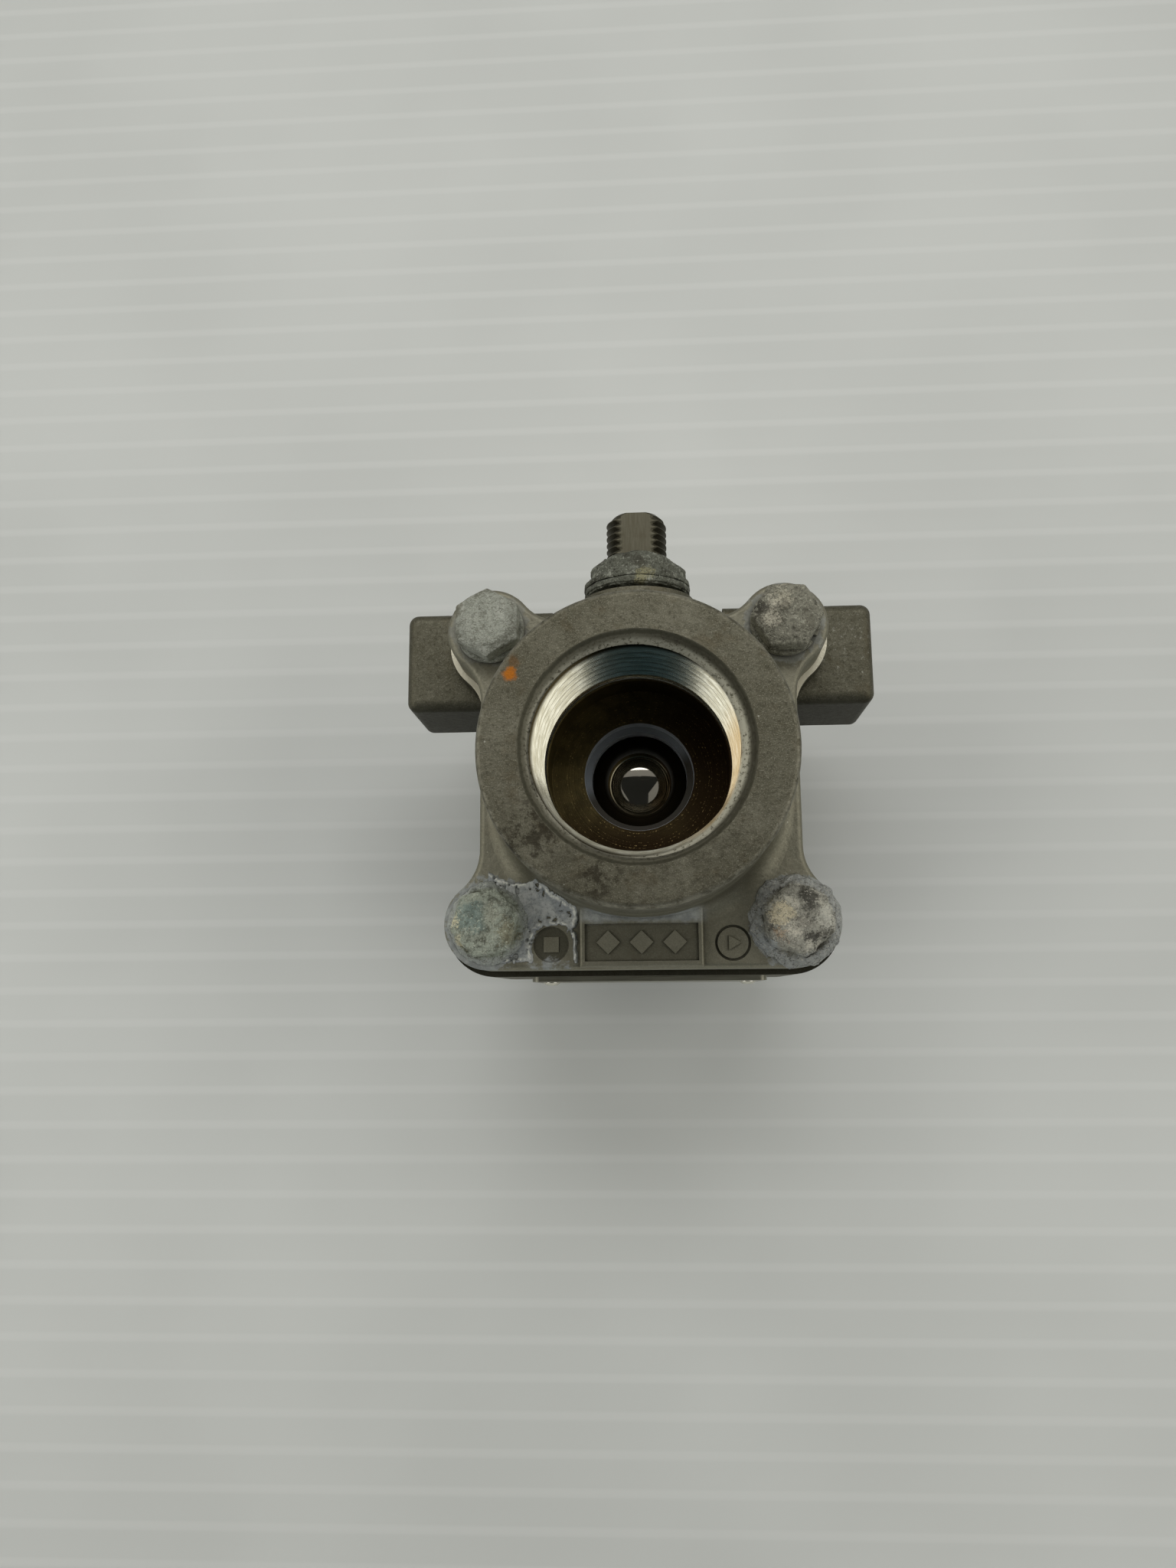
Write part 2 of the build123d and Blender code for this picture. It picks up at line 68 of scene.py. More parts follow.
# Sizes of the visible shapes, in millimetres
HUB_RADIUS = 23.5
MOUTH_RADIUS = 17.44
THREAD_MOUTH_RADIUS = 15.0
THREAD_DEPTH = 1.6
THREAD_PITCH = 25.4 / 11.5
THREAD_TURNS = 7
THREAD_TAPER = 1 / 32
THREAD_START = FRONT_FACE - (MOUTH_RADIUS - THREAD_MOUTH_RADIUS)
THREAD_END = THREAD_START - THREAD_TURNS * THREAD_PITCH
PORT_RADIUS = 8.95
MARK_RADIUS = 2.8
MARK_PLACE = (14.2, -27.4)
MARK_DEPTH = 0.4
PAD_HEIGHT = 1.3
PANEL_HALF_WIDTH = 8.85
PANEL_TOP = -24.3
EAR_ROOT = 25
EAR_BOTTOM = 14.0
COVE_NARROWEST = 1.25
COVE_WIDENING = 2.6
COVE_OVERLAP = 0.02
COVE_STEPS_ROUND = 240
COVE_STEPS_UP = 10
STEM_RADIUS = 5.55
STEM_THREAD_DEPTH = 0.77
STEM_PITCH = 1.27
STEM_THREAD_START = 33.6
STEM_TIP_CHAMFER = 1.2
STEM_HALF_FLATS = 3.97
STEM_FLATS_BOTTOM = 43.9
GLAND_RADIUS = 8.0
RIB_PITCH = 7.0

# How far from a corner painted shade reaches, and how finely crusts and salt are meshed, in millimetres
CORNER_SHADE = 1.1
HEAD_GRID = 0.13
FILM_GRID = 0.16
LUMP_GRID = 0.18
WASHER_GRID = 0.2
GLAND_GRID = 0.22

# What the camera sees behind the floor
BACKDROP = (0.36, 0.37, 0.35, 1)

# The edge of the salt that has spread over the front flange from bolt 3
BOLT_3_FILM = [
    (-28.2, -18.2), (-26.6, -16.3), (-24.0, -15.6), (-21.9, -16.9), (-20.4, -17.4), (-18.2, -17.4),
    (-16.4, -16.9), (-14.2, -18.7), (-12.2, -20.2), (-9.9, -21.6), (-9.9, -30.6), (-10.9, -30.4),
    (-11.1, -26.8), (-12.3, -25.0), (-14.2, -24.4), (-16.2, -25.2), (-17.1, -27.0), (-16.8, -30.4),
    (-21.0, -30.9), (-25.0, -30.8), (-29.0, -29.0),
]


def srgb(r, g, b):
    """A colour given as it looks on a screen, 0 to 255, as Blender's linear one."""
    linear = [(c / 255 / 12.92) if c < 10 else ((c / 255 + 0.055) / 1.055) ** 2.4 for c in (r, g, b)]
    return (*linear, 1.0)


# Noise for shaping meshes

def lattice_noise(points, seed):
    """Smooth noise between -1 and 1 at each row of points, with one lump per unit."""
    table = np.random.default_rng(seed).uniform(-1, 1, (32, 32, 32))
    base = np.floor(points).astype(int)
    part = points - base
    part = part * part * (3 - 2 * part)
    total = np.zeros(len(points))
    for corner in itertools.product((0, 1), repeat=3):
        weight = np.prod(np.where(corner, part, 1 - part), axis=1)
        i = (base + corner) % 32
        total += weight * table[i[:, 0], i[:, 1], i[:, 2]]
    return total


def rough_noise(points, size, seed, octaves=3):
    """Several layers of noise. The coarsest has lumps of the given size in millimetres."""
    total = np.zeros(len(points))
    for k in range(octaves):
        total += lattice_noise(points * 2**k / size + 7.3 * k, seed + k) / 1.7**k
    return total / 1.6


def smooth_step(value, low, high):
    t = np.clip((value - low) / (high - low), 0, 1)
    return t * t * (3 - 2 * t)


# Shaders

class Shader:
    """A Principled material whose patterns sit in the shared frame, in millimetres."""

    def __init__(self, name):
        self.material = bpy.data.materials.new(name)
        self.material.use_nodes = True
        self.tree = self.material.node_tree
        self.tree.nodes.clear()
        self.bsdf = self.node("ShaderNodeBsdfPrincipled")
        output = self.node("ShaderNodeOutputMaterial")
        self.tree.links.new(self.bsdf.outputs[0], output.inputs[0])
        coords = self.node("ShaderNodeTexCoord").outputs["Object"]
        self.place = self.vector("MULTIPLY", coords, (1 / MM, 1 / MM, 1 / MM))
        self.x, self.y, self.z = self.node("ShaderNodeSeparateXYZ", Vector=self.place).outputs
        self.bumps = None

    def node(self, kind, **inputs):
        made = self.tree.nodes.new(kind)
        for name, value in inputs.items():
            self.put(made.inputs[name], value)
        return made

    def put(self, socket, value):
        if isinstance(value, bpy.types.NodeSocket):
            self.tree.links.new(value, socket)
        else:
            socket.default_value = value

    def vector(self, operation, a, b):
        made = self.tree.nodes.new("ShaderNodeVectorMath")
        made.operation = operation
        self.put(made.inputs[0], a)
        self.put(made.inputs[1], b)
        return made.outputs["Value" if operation == "LENGTH" else "Vector"]

    def math(self, operation, a, b=0.0):
        made = self.tree.nodes.new("ShaderNodeMath")
        made.operation = operation
        self.put(made.inputs[0], a)
        self.put(made.inputs[1], b)
        return made.outputs[0]

    def step(self, value, low, high):
        """0 where value is under low, 1 where it is over high, and smooth between."""
        made = self.node("ShaderNodeMapRange", Value=value)
        made.interpolation_type = "SMOOTHSTEP"
        lowest, highest = min(low, high), max(low, high)
        self.put(made.inputs["From Min"], lowest)
        self.put(made.inputs["From Max"], highest)
        self.put(made.inputs["To Min"], 0.0 if low < high else 1.0)
        self.put(made.inputs["To Max"], 1.0 if low < high else 0.0)
        return made.outputs[0]

    def noise(self, size, detail=3.0, rough=0.55, stretch=(1, 1, 1), shift=0.0):
        """Noise from about 0 to 1, with lumps of the given size in millimetres."""
        place = self.vector("MULTIPLY", self.place, stretch)
        place = self.vector("ADD", place, (shift, 1.7 * shift, -shift))
        made = self.node("ShaderNodeTexNoise", Vector=place, Scale=1 / size, Detail=detail)
        made.inputs["Roughness"].default_value = rough
        return made.outputs["Fac"]

    def cells(self, size, shift=0.0):
        """How far each point is from the nearest of many scattered points, as a share of size."""
        place = self.vector("ADD", self.place, (shift, shift, shift))
        return self.node("ShaderNodeTexVoronoi", Vector=place, Scale=1 / size).outputs["Distance"]

    def mix(self, factor, a, b):
        """The colour a where factor is 0, and b where it is 1."""
        made = self.tree.nodes.new("ShaderNodeMix")
        made.data_type = "RGBA"
        self.put(made.inputs[0], factor)
        self.put(made.inputs[6], a)
        self.put(made.inputs[7], b)
        return made.outputs[2]

    def between(self, factor, a, b):
        """The number a where factor is 0, and b where it is 1."""
        made = self.tree.nodes.new("ShaderNodeMix")
        self.put(made.inputs[0], factor)
        self.put(made.inputs[2], a)
        self.put(made.inputs[3], b)
        return made.outputs[0]

    def both(self, a, b):
        return self.math("MULTIPLY", a, b)

    def either(self, a, b):
        return self.math("MAXIMUM", a, b)

    def gap(self, a, b):
        """How far apart two values are."""
        return self.math("ABSOLUTE", self.math("SUBTRACT", a, b))

    def wander(self, noise, span):
        """Noise from 0 to 1 as a shift either way. span is the whole width of it, in millimetres."""
        return self.both(self.math("SUBTRACT", noise, 0.5), span)

    def corner_shade(self, low, high):
        """Where painted shade goes: 1 in tight corners and 0 in the open. low and high are how much of the
        room is seen from each.
        """
        made = self.node("ShaderNodeAmbientOcclusion", Distance=CORNER_SHADE * MM)
        made.samples = 6
        return self.step(made.outputs["AO"], high, low)

    def distance(self, x, y, stretch=(1, 1)):
        """How far a point lies from the line through (x, y) along Z, in millimetres."""
        flat = self.vector("MULTIPLY", self.place, (1, 1, 0))
        away = self.vector("SUBTRACT", flat, (x, y, 0))
        return self.vector("LENGTH", self.vector("MULTIPLY", away, (*stretch, 0)), (0, 0, 0))

    def bump(self, height, depth):
        """Adds relief: height runs from 0 to 1 and stands for depth millimetres."""
        made = self.node("ShaderNodeBump", Height=height, Distance=depth * MM, Strength=1.0)
        if self.bumps is not None:
            self.put(made.inputs["Normal"], self.bumps)
        self.bumps = made.outputs[0]

    def finish(self, colour, metallic, roughness):
        self.put(self.bsdf.inputs["Base Color"], colour)
        self.put(self.bsdf.inputs["Metallic"], metallic)
        self.put(self.bsdf.inputs["Roughness"], roughness)
        if self.bumps is not None:
            self.put(self.bsdf.inputs["Normal"], self.bumps)
        return self.material


def cast_steel(name, front=False, machined=None):
    """Dull investment-cast stainless, with painted shade in its corners. The front cap is stained too. The
    body's end
    faces are machined: pale, with a painted sheen, and with painted shade on their lower part; painted
    shade also lies under the ears.

    machined is how far those faces lie from the ball's centre.
    """
    s = Shader(name)
    broad = s.noise(9, 3, 0.6)
    grain = s.noise(0.55, 3, 0.7)
    fine = s.noise(0.2, 2, 0.6)
    mottle = s.noise(1.5, 4, 0.65, shift=23)
    colour = s.mix(s.step(broad, 0.3, 0.7), srgb(94, 91, 76), srgb(112, 109, 94))
    colour = s.mix(s.both(s.step(mottle, 0.42, 0.62), 0.4), colour, srgb(80, 77, 62))
    colour = s.mix(s.both(s.step(grain, 0.5, 0.7), 0.6), colour, srgb(66, 63, 50))
    colour = s.mix(s.both(s.step(fine, 0.52, 0.68), 0.5), colour, srgb(148, 145, 130))
    brown = s.both(s.step(s.noise(5, 4, 0.65, shift=31), 0.52, 0.7), 0.35)
    colour = s.mix(brown, colour, srgb(80, 68, 45))
    specks = s.step(s.cells(1.9, 3), 0.1, 0.05)
    specks = s.both(specks, s.step(s.noise(4, 2, 0.6, shift=77), 0.5, 0.62))
    colour = s.mix(s.both(specks, 0.6), colour, srgb(186, 186, 172))
    rough = s.between(grain, 0.42, 0.66)
    metallic = 0.85
    s.bump(s.noise(1.3, 3, 0.6, shift=5), 0.06)
    s.bump(grain, 0.06)
    if front:
        colour, rough, metallic = front_stains(s, colour, rough, metallic)
    # Painted shade in tight corners, where little light reaches.
    colour = s.mix(s.both(s.corner_shade(0.35, 0.8), 0.75), colour, srgb(34, 32, 24))
    if machined:
        outward = s.math("ABSOLUTE", s.x)
        colour = s.mix(s.both(s.step(outward, EAR_ROOT - 1, EAR_ROOT + 7), 0.3), colour, srgb(62, 60, 46))
        # Painted shade on the undersides of the ears, which face away from the light.
        under = s.step(s.y, EAR_BOTTOM + 0.9, EAR_BOTTOM + 0.2)
        under = s.both(s.step(outward, EAR_ROOT, EAR_ROOT + 2), under)
        colour = s.mix(s.both(under, 0.6), colour, srgb(40, 39, 30))
        salted = s.step(s.noise(0.9, 5, 0.8, shift=8), 0.56, 0.68)
        salted = s.both(s.step(s.distance(36, 24), 8, 3), salted)
        colour = s.mix(s.both(salted, 0.5), colour, srgb(176, 176, 164))
        face = s.step(s.gap(s.z, BALL[2]), machined - 0.12, machined - 0.06)
        # Painted shadow on the lower part of the machined end faces, where the flange's bottom edge shades
        # them.
        low = s.both(face, s.step(s.y, 2, -4))
        colour = s.mix(s.both(low, 0.8), colour, srgb(44, 43, 34))
        # Above that, the machined faces are the metal's own pale colour, made matte: a painted sheen
        # standing in for their reflection.
        face = s.both(face, s.step(s.y, -4, 2))
        colour = s.mix(face, colour, srgb(226, 220, 198))
        rough = s.between(face, rough, 0.4)
        metallic = s.between(face, metallic, 0.3)
    return s.finish(colour, metallic, rough)


def front_stains(s, colour, rough, metallic):
    """Stains and a rust spot on the hub's face, and the pale film of salt on the flange. The flange is
    lightened with dust and painted light, and its lettering panel gets painted light and shade.
    """
    on_hub = s.step(s.z, FRONT_FACE - 2, FRONT_FACE - 1)
    # A paler, broken ring on the hub's rounded rim.
    pale_rim = s.both(s.step(s.distance(0, 0), HUB_RADIUS - 0.9, HUB_RADIUS - 0.3), on_hub)
    pale_rim = s.both(pale_rim, s.step(s.noise(1.2, 4, 0.7, shift=53), 0.36, 0.6))
    colour = s.mix(s.both(pale_rim, 0.6), colour, srgb(150, 147, 132))
    stained = s.step(s.distance(-15.5, -12.5), 6.5, 3.0)
    stained = s.either(stained, s.step(s.distance(-5.5, -18.8), 4.6, 2.0))
    stained = s.either(stained, s.both(s.step(s.y, -8, -16), 0.35))
    blotches = s.step(s.noise(2.2, 5, 0.72, shift=12), 0.46, 0.6)
    colour = s.mix(s.both(s.both(s.both(on_hub, stained), blotches), 0.8), colour, srgb(46, 41, 30))
    rust = s.math("ADD", s.distance(-18.4, 10.9), s.both(s.noise(0.9, 3, 0.7), 1.6))
    trail = s.math("ADD", s.distance(-17.8, 12.6, (1.4, 1)), s.both(s.noise(1.1, 3, 0.7, shift=4), 1.6))
    colour = s.mix(s.both(s.both(on_hub, s.step(trail, 2.4, 1.5)), 0.5), colour, srgb(104, 72, 34))
    rust = s.both(on_hub, s.step(rust, 2.2, 1.3))
    colour = s.mix(s.both(rust, 0.9), colour, srgb(176, 104, 22))

    on_flange = s.step(s.z, FRONT_FACE - 8, FRONT_FACE - 12)
    # The flange face is lightened: pale dust, and painted light that lifts the shadow of the hub.
    colour = s.mix(s.both(on_flange, 0.4), colour, srgb(164, 161, 142))
    x, y = MARK_PLACE
    for side, strength in ((-x, 0.6), (x, 0.3)):
        sunk = s.both(s.step(s.distance(side, y), MARK_RADIUS, MARK_RADIUS - 0.3), on_flange)
        sunk = s.both(sunk, s.step(s.z, FLANGE - 0.6 * MARK_DEPTH, FLANGE - 0.9 * MARK_DEPTH))
        colour = s.mix(s.both(sunk, strength), colour, srgb(52, 50, 39))
    outward = s.math("ABSOLUTE", s.x)
    on_panel = s.both(s.step(outward, PANEL_HALF_WIDTH, PANEL_HALF_WIDTH - 0.2), on_flange)
    on_panel = s.both(on_panel, s.step(s.y, PANEL_TOP, PANEL_TOP - 0.2))
    on_panel = s.both(on_panel, s.step(s.z, FLANGE + 0.5, FLANGE + 0.7))
    # Painted light and shade on the lettering panel: the stud tops are lightened, the floor between them
    # darkened.
    lit_stud_tops = s.step(s.z, FLANGE + PAD_HEIGHT - 0.3, FLANGE + PAD_HEIGHT - 0.15)
    colour = s.mix(s.both(s.both(on_panel, lit_stud_tops), 0.2), colour, srgb(150, 148, 133))
    sunk = s.both(on_panel, s.math("SUBTRACT", 1.0, lit_stud_tops))
    colour = s.mix(s.both(sunk, 0.35), colour, srgb(58, 56, 44))
    ragged = s.wander(s.noise(2.2, 4, 0.7, shift=20), 6.0)
    bloom = None
    for (x, y), reach, strength in zip(BOLTS, (6.4, 6.6, 7.4, 7.2), (0.35, 0.5, 1.0, 0.9)):
        near = s.step(s.math("ADD", s.distance(x, y), ragged), reach + 0.3, reach - 0.5)
        near = s.both(near, strength)
        bloom = near if bloom is None else s.either(bloom, near)
    band = s.math("ADD", s.gap(s.y, PANEL_TOP + 1.4), s.both(ragged, 0.3))
    over_pad = s.both(s.step(band, 1.6, 0.5), s.step(outward, 11.0, 8.0))
    under_mark = s.step(s.math("ADD", s.distance(-14.0, -30.4, (0.5, 1.3)), ragged), 1.6, 0.6)
    near_flange = s.step(s.math("ADD", s.z, s.both(ragged, 0.5)), FLANGE + 4, FLANGE + 2)
    bloom = s.both(s.either(bloom, s.either(over_pad, under_mark)), near_flange)
    bloom = s.both(bloom, s.step(s.z, FLANGE - 6.5, FLANGE - 0.3))
    cloud = s.step(s.noise(1.6, 4, 0.7, shift=8), 0.35, 0.65)
    pale = s.mix(cloud, srgb(138, 143, 144), srgb(176, 180, 178))
    colour = s.mix(s.both(bloom, 0.75), colour, pale)
    rough = s.between(bloom, rough, 0.75)
    metallic = s.between(bloom, metallic, 0.1)
    s.bump(s.both(bloom, s.noise(0.8, 4, 0.7, shift=41)), 0.1)
    return colour, rough, metallic


def machined_steel(name):
    """Bright turned thread, darker in the roots of its grooves with oily dirt and painted shade, with an
    amber painted reflection on its right. The cone at the mouth is duller, with a painted highlight band
    and a painted shadow at its rim.
    """
    s = Shader(name)
    around = s.noise(0.35, 3, 0.6, stretch=(0.15, 0.15, 3.0))
    colour = s.mix(s.step(around, 0.35, 0.7), srgb(176, 172, 152), srgb(214, 212, 196))
    # An amber painted reflection on the thread's right side.
    tint = s.both(s.step(s.x, 4, 11), s.step(s.y, 8, 2))
    colour = s.mix(s.both(tint, 0.45), colour, srgb(186, 146, 74))
    chips = s.step(s.noise(0.5, 4, 0.75, shift=9), 0.62, 0.72)
    colour = s.mix(s.both(chips, 0.5), colour, srgb(96, 92, 74))
    # The roots of the grooves are darkened: oily dirt, and painted shade.
    axial = s.gap(s.z, BALL[2])
    crest = s.math("ADD", s.both(axial, THREAD_TAPER), THREAD_MOUTH_RADIUS - THREAD_TAPER * LENGTH / 2)
    sunk = s.math("SUBTRACT", s.distance(0, 0), crest)
    colour = s.mix(s.step(sunk, 0.35, 0.95), colour, srgb(52, 46, 30))
    mouth = s.step(axial, LENGTH / 2 - 2.5, LENGTH / 2 - 2.2)
    radius = s.math("ADD", s.distance(0, 0), s.wander(s.noise(2.5, 4, 0.7, shift=2), 0.7))
    # Painted light on the mouth's cone: a pale highlight band at its inner edge, darker outwards, and a
    # painted shadow ring at its outer rim.
    cone = s.mix(s.step(radius, 15.9, 16.6), srgb(176, 173, 156), srgb(120, 117, 101))
    cone = s.mix(s.step(s.noise(0.5, 3, 0.7, shift=14), 0.5, 0.66), cone, srgb(98, 95, 80))
    rim = s.step(s.gap(radius, MOUTH_RADIUS - 0.35), 0.4, 0.1)
    cone = s.mix(s.both(rim, 0.7), cone, srgb(66, 64, 50))
    colour = s.mix(mouth, colour, cone)
    s.bump(around, 0.008)
    s.bump(s.noise(0.4, 3, 0.7), 0.006)
    return s.finish(colour, s.between(mouth, 1.0, 0.8), s.between(mouth, 0.24, 0.55))


def grimy_bore(name):
    """The dark, oily, brown inside of the port, with fine turning marks, painted glints along them and
    painted shade on one side. Its narrowest wall is pale with a painted reflection.
    """
    s = Shader(name)
    radius = s.distance(0, 0)
    rings = s.node("ShaderNodeTexNoise", Scale=4.5, Detail=4.0)
    rings.noise_dimensions = "1D"
    s.put(rings.inputs["W"], radius)
    stain = s.noise(3.5, 4, 0.65)
    colour = s.mix(s.step(stain, 0.35, 0.65), srgb(76, 67, 40), srgb(100, 88, 54))
    # Painted shade, darker towards +X and towards the bottom.
    shaded_side = s.either(s.step(s.x, -6, 12), s.step(s.y, -2, -12))
    colour = s.mix(shaded_side, colour, srgb(44, 31, 12))
    glints = s.step(s.noise(0.35, 4, 0.85, shift=6), 0.56, 0.63)
    glints = s.both(s.step(rings.outputs["Fac"], 0.55, 0.63), glints)
    colour = s.mix(s.both(glints, 0.8), colour, srgb(216, 188, 124))
    # Painted reflection: the port's narrowest wall is pale blue-white and matte where the metal reflects
    # light.
    wall = s.step(radius, PORT_RADIUS + 0.04, PORT_RADIUS + 0.01)
    colour = s.mix(wall, colour, srgb(206, 212, 218))
    s.bump(rings.outputs["Fac"], 0.02)
    s.bump(s.noise(0.5, 4, 0.7), 0.02)
    return s.finish(colour, s.between(wall, 0.85, 0.0), s.between(stain, 0.36, 0.52))


def mirror_ball(name):
    """A polished ball, darker away from its middle: painted shade that dims what it mirrors there."""
    s = Shader(name)
    haze = s.noise(2.5, 4, 0.7)
    s.bump(s.noise(3.0, 2, 0.5, stretch=(1, 1, 0.3)), 0.002)
    colour = s.mix(haze, srgb(172, 166, 154), srgb(188, 183, 172))
    # Painted shade: the ball's colour darkens away from its middle, dimming its reflections.
    colour = s.mix(s.step(s.distance(0, 0), 4.2, 6.0), colour, srgb(42, 36, 25))
    return s.finish(colour, 1.0, s.between(haze, 0.03, 0.06))


def seat_polymer(name, light, dark, shaded_face=False):
    """Filled polymer. The seats' outward faces carry painted shade, pale blue-grey above and dark brown
    towards the bottom.
    """
    s = Shader(name)
    spots = s.noise(1.4, 4, 0.7)
    colour = s.mix(spots, dark, light)
    if shaded_face:
        # Painted shade on the seats' outward faces, darkest towards the bottom.
        low = s.step(s.math("SUBTRACT", s.y, s.both(s.x, 0.4)), 3.0, -1.0)
        face_shade = s.mix(low, srgb(150, 156, 162), srgb(58, 52, 38))
        outer = s.step(s.gap(s.z, BALL[2]), SEAT_FACE - 0.25, SEAT_FACE - 0.05)
        colour = s.mix(outer, colour, face_shade)
    s.bump(s.noise(0.4, 3, 0.6), 0.01)
    return s.finish(colour, 0.0, s.between(spots, 0.35, 0.5))


def turned_steel(name, stretch=(1, 0.1, 1)):
    """Dulled turned steel: the stem and the gland ring."""
    s = Shader(name)
    streaks = s.noise(0.35, 4, 0.65, stretch=stretch)
    broad = s.noise(3.0, 3, 0.6)
    colour = s.mix(s.step(streaks, 0.35, 0.7), srgb(74, 71, 58), srgb(88, 85, 72))
    colour = s.mix(s.both(s.step(broad, 0.5, 0.7), 0.4), colour, srgb(66, 60, 46))
    s.bump(streaks, 0.012)
    s.bump(s.noise(0.5, 3, 0.6), 0.01)
    return s.finish(colour, 0.9, s.between(streaks, 0.34, 0.55))


def weathered_zinc(name, light, middle, dark, salt, shift, patches=(), skirt=None, dirt=0.5):
    """Zinc plate gone dull under its own salts. salt and dirt, 0 to 1, are how much is pale or speckled.

    patches lists (x, y, radius, strength, colour) for the colours that lie in one place. skirt is
    the place of a bolt with a ring of blue-grey salt round its foot.
    """
    s = Shader(name)
    cloud = s.noise(2.8, 4, 0.6, shift=shift)
    curd = s.noise(0.8, 5, 0.68, shift=shift + 6)
    grain = s.noise(0.26, 3, 0.6, shift=shift + 3)
    mixed = s.math("ADD", s.both(cloud, 0.7), s.both(curd, 0.3))
    colour = s.mix(s.step(mixed, 0.38, 0.5), dark, middle)
    pale = s.step(mixed, 0.62 - 0.2 * salt, 0.72 - 0.2 * salt)
    colour = s.mix(pale, colour, light)
    ragged = s.math("ADD", s.wander(curd, 3.0), s.wander(cloud, 5.0))
    ragged = s.math("ADD", ragged, s.wander(grain, 3.0))
    for x, y, radius, strength, tint in patches:
        away = s.math("ADD", s.distance(x, y), ragged)
        colour = s.mix(s.both(s.step(away, radius + 0.4, radius - 0.5), strength), colour, tint)
    if skirt is not None:
        foot = s.step(s.math("ADD", s.distance(*skirt), s.both(ragged, 0.4)), 5.1, 5.9)
        colour = s.mix(s.both(foot, 0.75), colour, srgb(178, 181, 179))
    colour = s.mix(s.both(s.step(curd, 0.5, 0.36), dirt), colour, dark)
    colour = s.mix(s.both(s.step(grain, 0.46, 0.62), 0.8 * dirt), colour, dark)
    vein = s.step(s.gap(s.noise(1.5, 3, 0.6, shift=shift + 12), 0.5), 0.02, 0.004)
    colour = s.mix(s.both(vein, 0.7), colour, dark)
    fleck = s.noise(0.4, 2, 0.5, shift=shift + 15)
    colour = s.mix(s.both(s.step(fleck, 0.6, 0.68), 0.65), colour, light)
    s.bump(curd, 0.35)
    s.bump(grain, 0.2)
    # Painted shade in tight corners.
    colour = s.mix(s.both(s.corner_shade(0.25, 0.7), 0.6), colour, srgb(40, 38, 30))
    return s.finish(colour, s.between(pale, 0.25, 0.0), s.between(pale, 0.6, 0.85))


def plate_metal(name):
    """Thin sheet, brushed along its length."""
    s = Shader(name)
    brush = s.noise(0.3, 3, 0.6, stretch=(0.05, 1, 1))
    colour = s.mix(brush, srgb(120, 118, 104), srgb(166, 164, 150))
    s.bump(brush, 0.008)
    return s.finish(colour, 0.95, s.between(brush, 0.3, 0.5))


# Meshes

def add_piece(name, mesh, body, materials, replaced=()):
    """Puts a mesh in the scene as a piece that rides on a CAD body. replaced lists CAD nodes."""
    piece = bpy.data.objects.new(name, mesh)
    bpy.context.scene.collection.objects.link(piece)
    for material in materials:
        mesh.materials.append(material)
    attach(piece, body)
    if replaced:
        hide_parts(*replaced)


def to_mesh(name, built, sharp=35):
    """Turns a bmesh in millimetres into a smooth-shaded mesh in metres."""
    bmesh.ops.dissolve_degenerate(built, edges=built.edges, dist=1e-4)
    mesh = bpy.data.meshes.new(name)
    built.to_mesh(mesh)
    built.free()
    mesh.transform(Matrix.Scale(MM, 4))
    mesh.shade_smooth()
    mesh.set_sharp_from_angle(angle=math.radians(sharp))
    kept = mesh.attributes.get("cad_normal")
    if kept:
        normals = np.zeros(len(mesh.loops) * 3)
        kept.data.foreach_get("vector", normals)
        mesh.attributes.remove(kept)
        mesh.normals_split_custom_set(normals.reshape(-1, 3).tolist())
    return mesh


def copy_in_mm(*names):
    """The CAD meshes of some nodes as one bmesh in millimetres.

    Each corner carries its CAD normal, which to_mesh puts back.
    """
    built = bmesh.new()
    for name in names:
        copied = nodes[name].data.copy()
        normals = np.zeros(len(copied.loops) * 3)
        copied.corner_normals.foreach_get("vector", normals)
        kept = copied.attributes.new("cad_normal", "FLOAT_VECTOR", "CORNER")
        kept.data.foreach_set("vector", normals)
        built.from_mesh(copied)
        bpy.data.meshes.remove(copied)
    for vertex in built.verts:
        vertex.co /= MM
    return built


def delete_faces(built, unwanted):
    faces = [f for f in built.faces if unwanted(f.calc_center_median())]
    bmesh.ops.delete(built, geom=faces, context="FACES")


def add_grid(built, rows, material=0, flip=False):
    """Adds quads between rows of points, each row being a closed ring or an open line of equal count."""
    made = [[built.verts.new(p) for p in row] for row in rows]
    for a, b in zip(made, made[1:]):
        for k in range(len(a) - 1):
            corners = [a[k], a[k + 1], b[k + 1], b[k]]
            face = built.faces.new(corners[::-1] if flip else corners)
            face.material_index = material
    bmesh.ops.remove_doubles(built, verts=[v for row in made for v in row], dist=1e-4)


def helix_rows(profile, pitch, low, high, radius_at, steps=144):
    """Rows of (angle, height, radius) points on a right-hand thread between two heights.

    profile lists (share of a pitch, share of the thread's depth) from one crest to the next.
    """
    turns = int(math.ceil((high - low) / pitch)) + 2
    count = turns * steps + 1
    angle = np.arange(count) * 2 * math.pi / steps
    start = low - pitch + np.arange(count) * pitch / steps
    shares = np.array([p[0] for p in profile])
    depths = np.array([p[1] for p in profile])
    height = np.clip(start[:, None] + shares[None, :] * pitch, low, high)
    turned = np.repeat(angle[:, None], len(profile), axis=1)
    depth = np.repeat(depths[None, :], count, axis=0)
    return turned, height, radius_at(turned, height, depth)


# Thread profiles, as helix_rows takes them
BORE_PROFILE = [(0, 0), (0.05, 0), (0.27, 0.5), (0.49, 1), (0.54, 1), (0.77, 0.5), (1, 0)]
STEM_PROFILE = [(0, 0), (0.1, 0), (0.3, 0.5), (0.48, 1), (0.6, 1), (0.8, 0.5), (1, 0)]


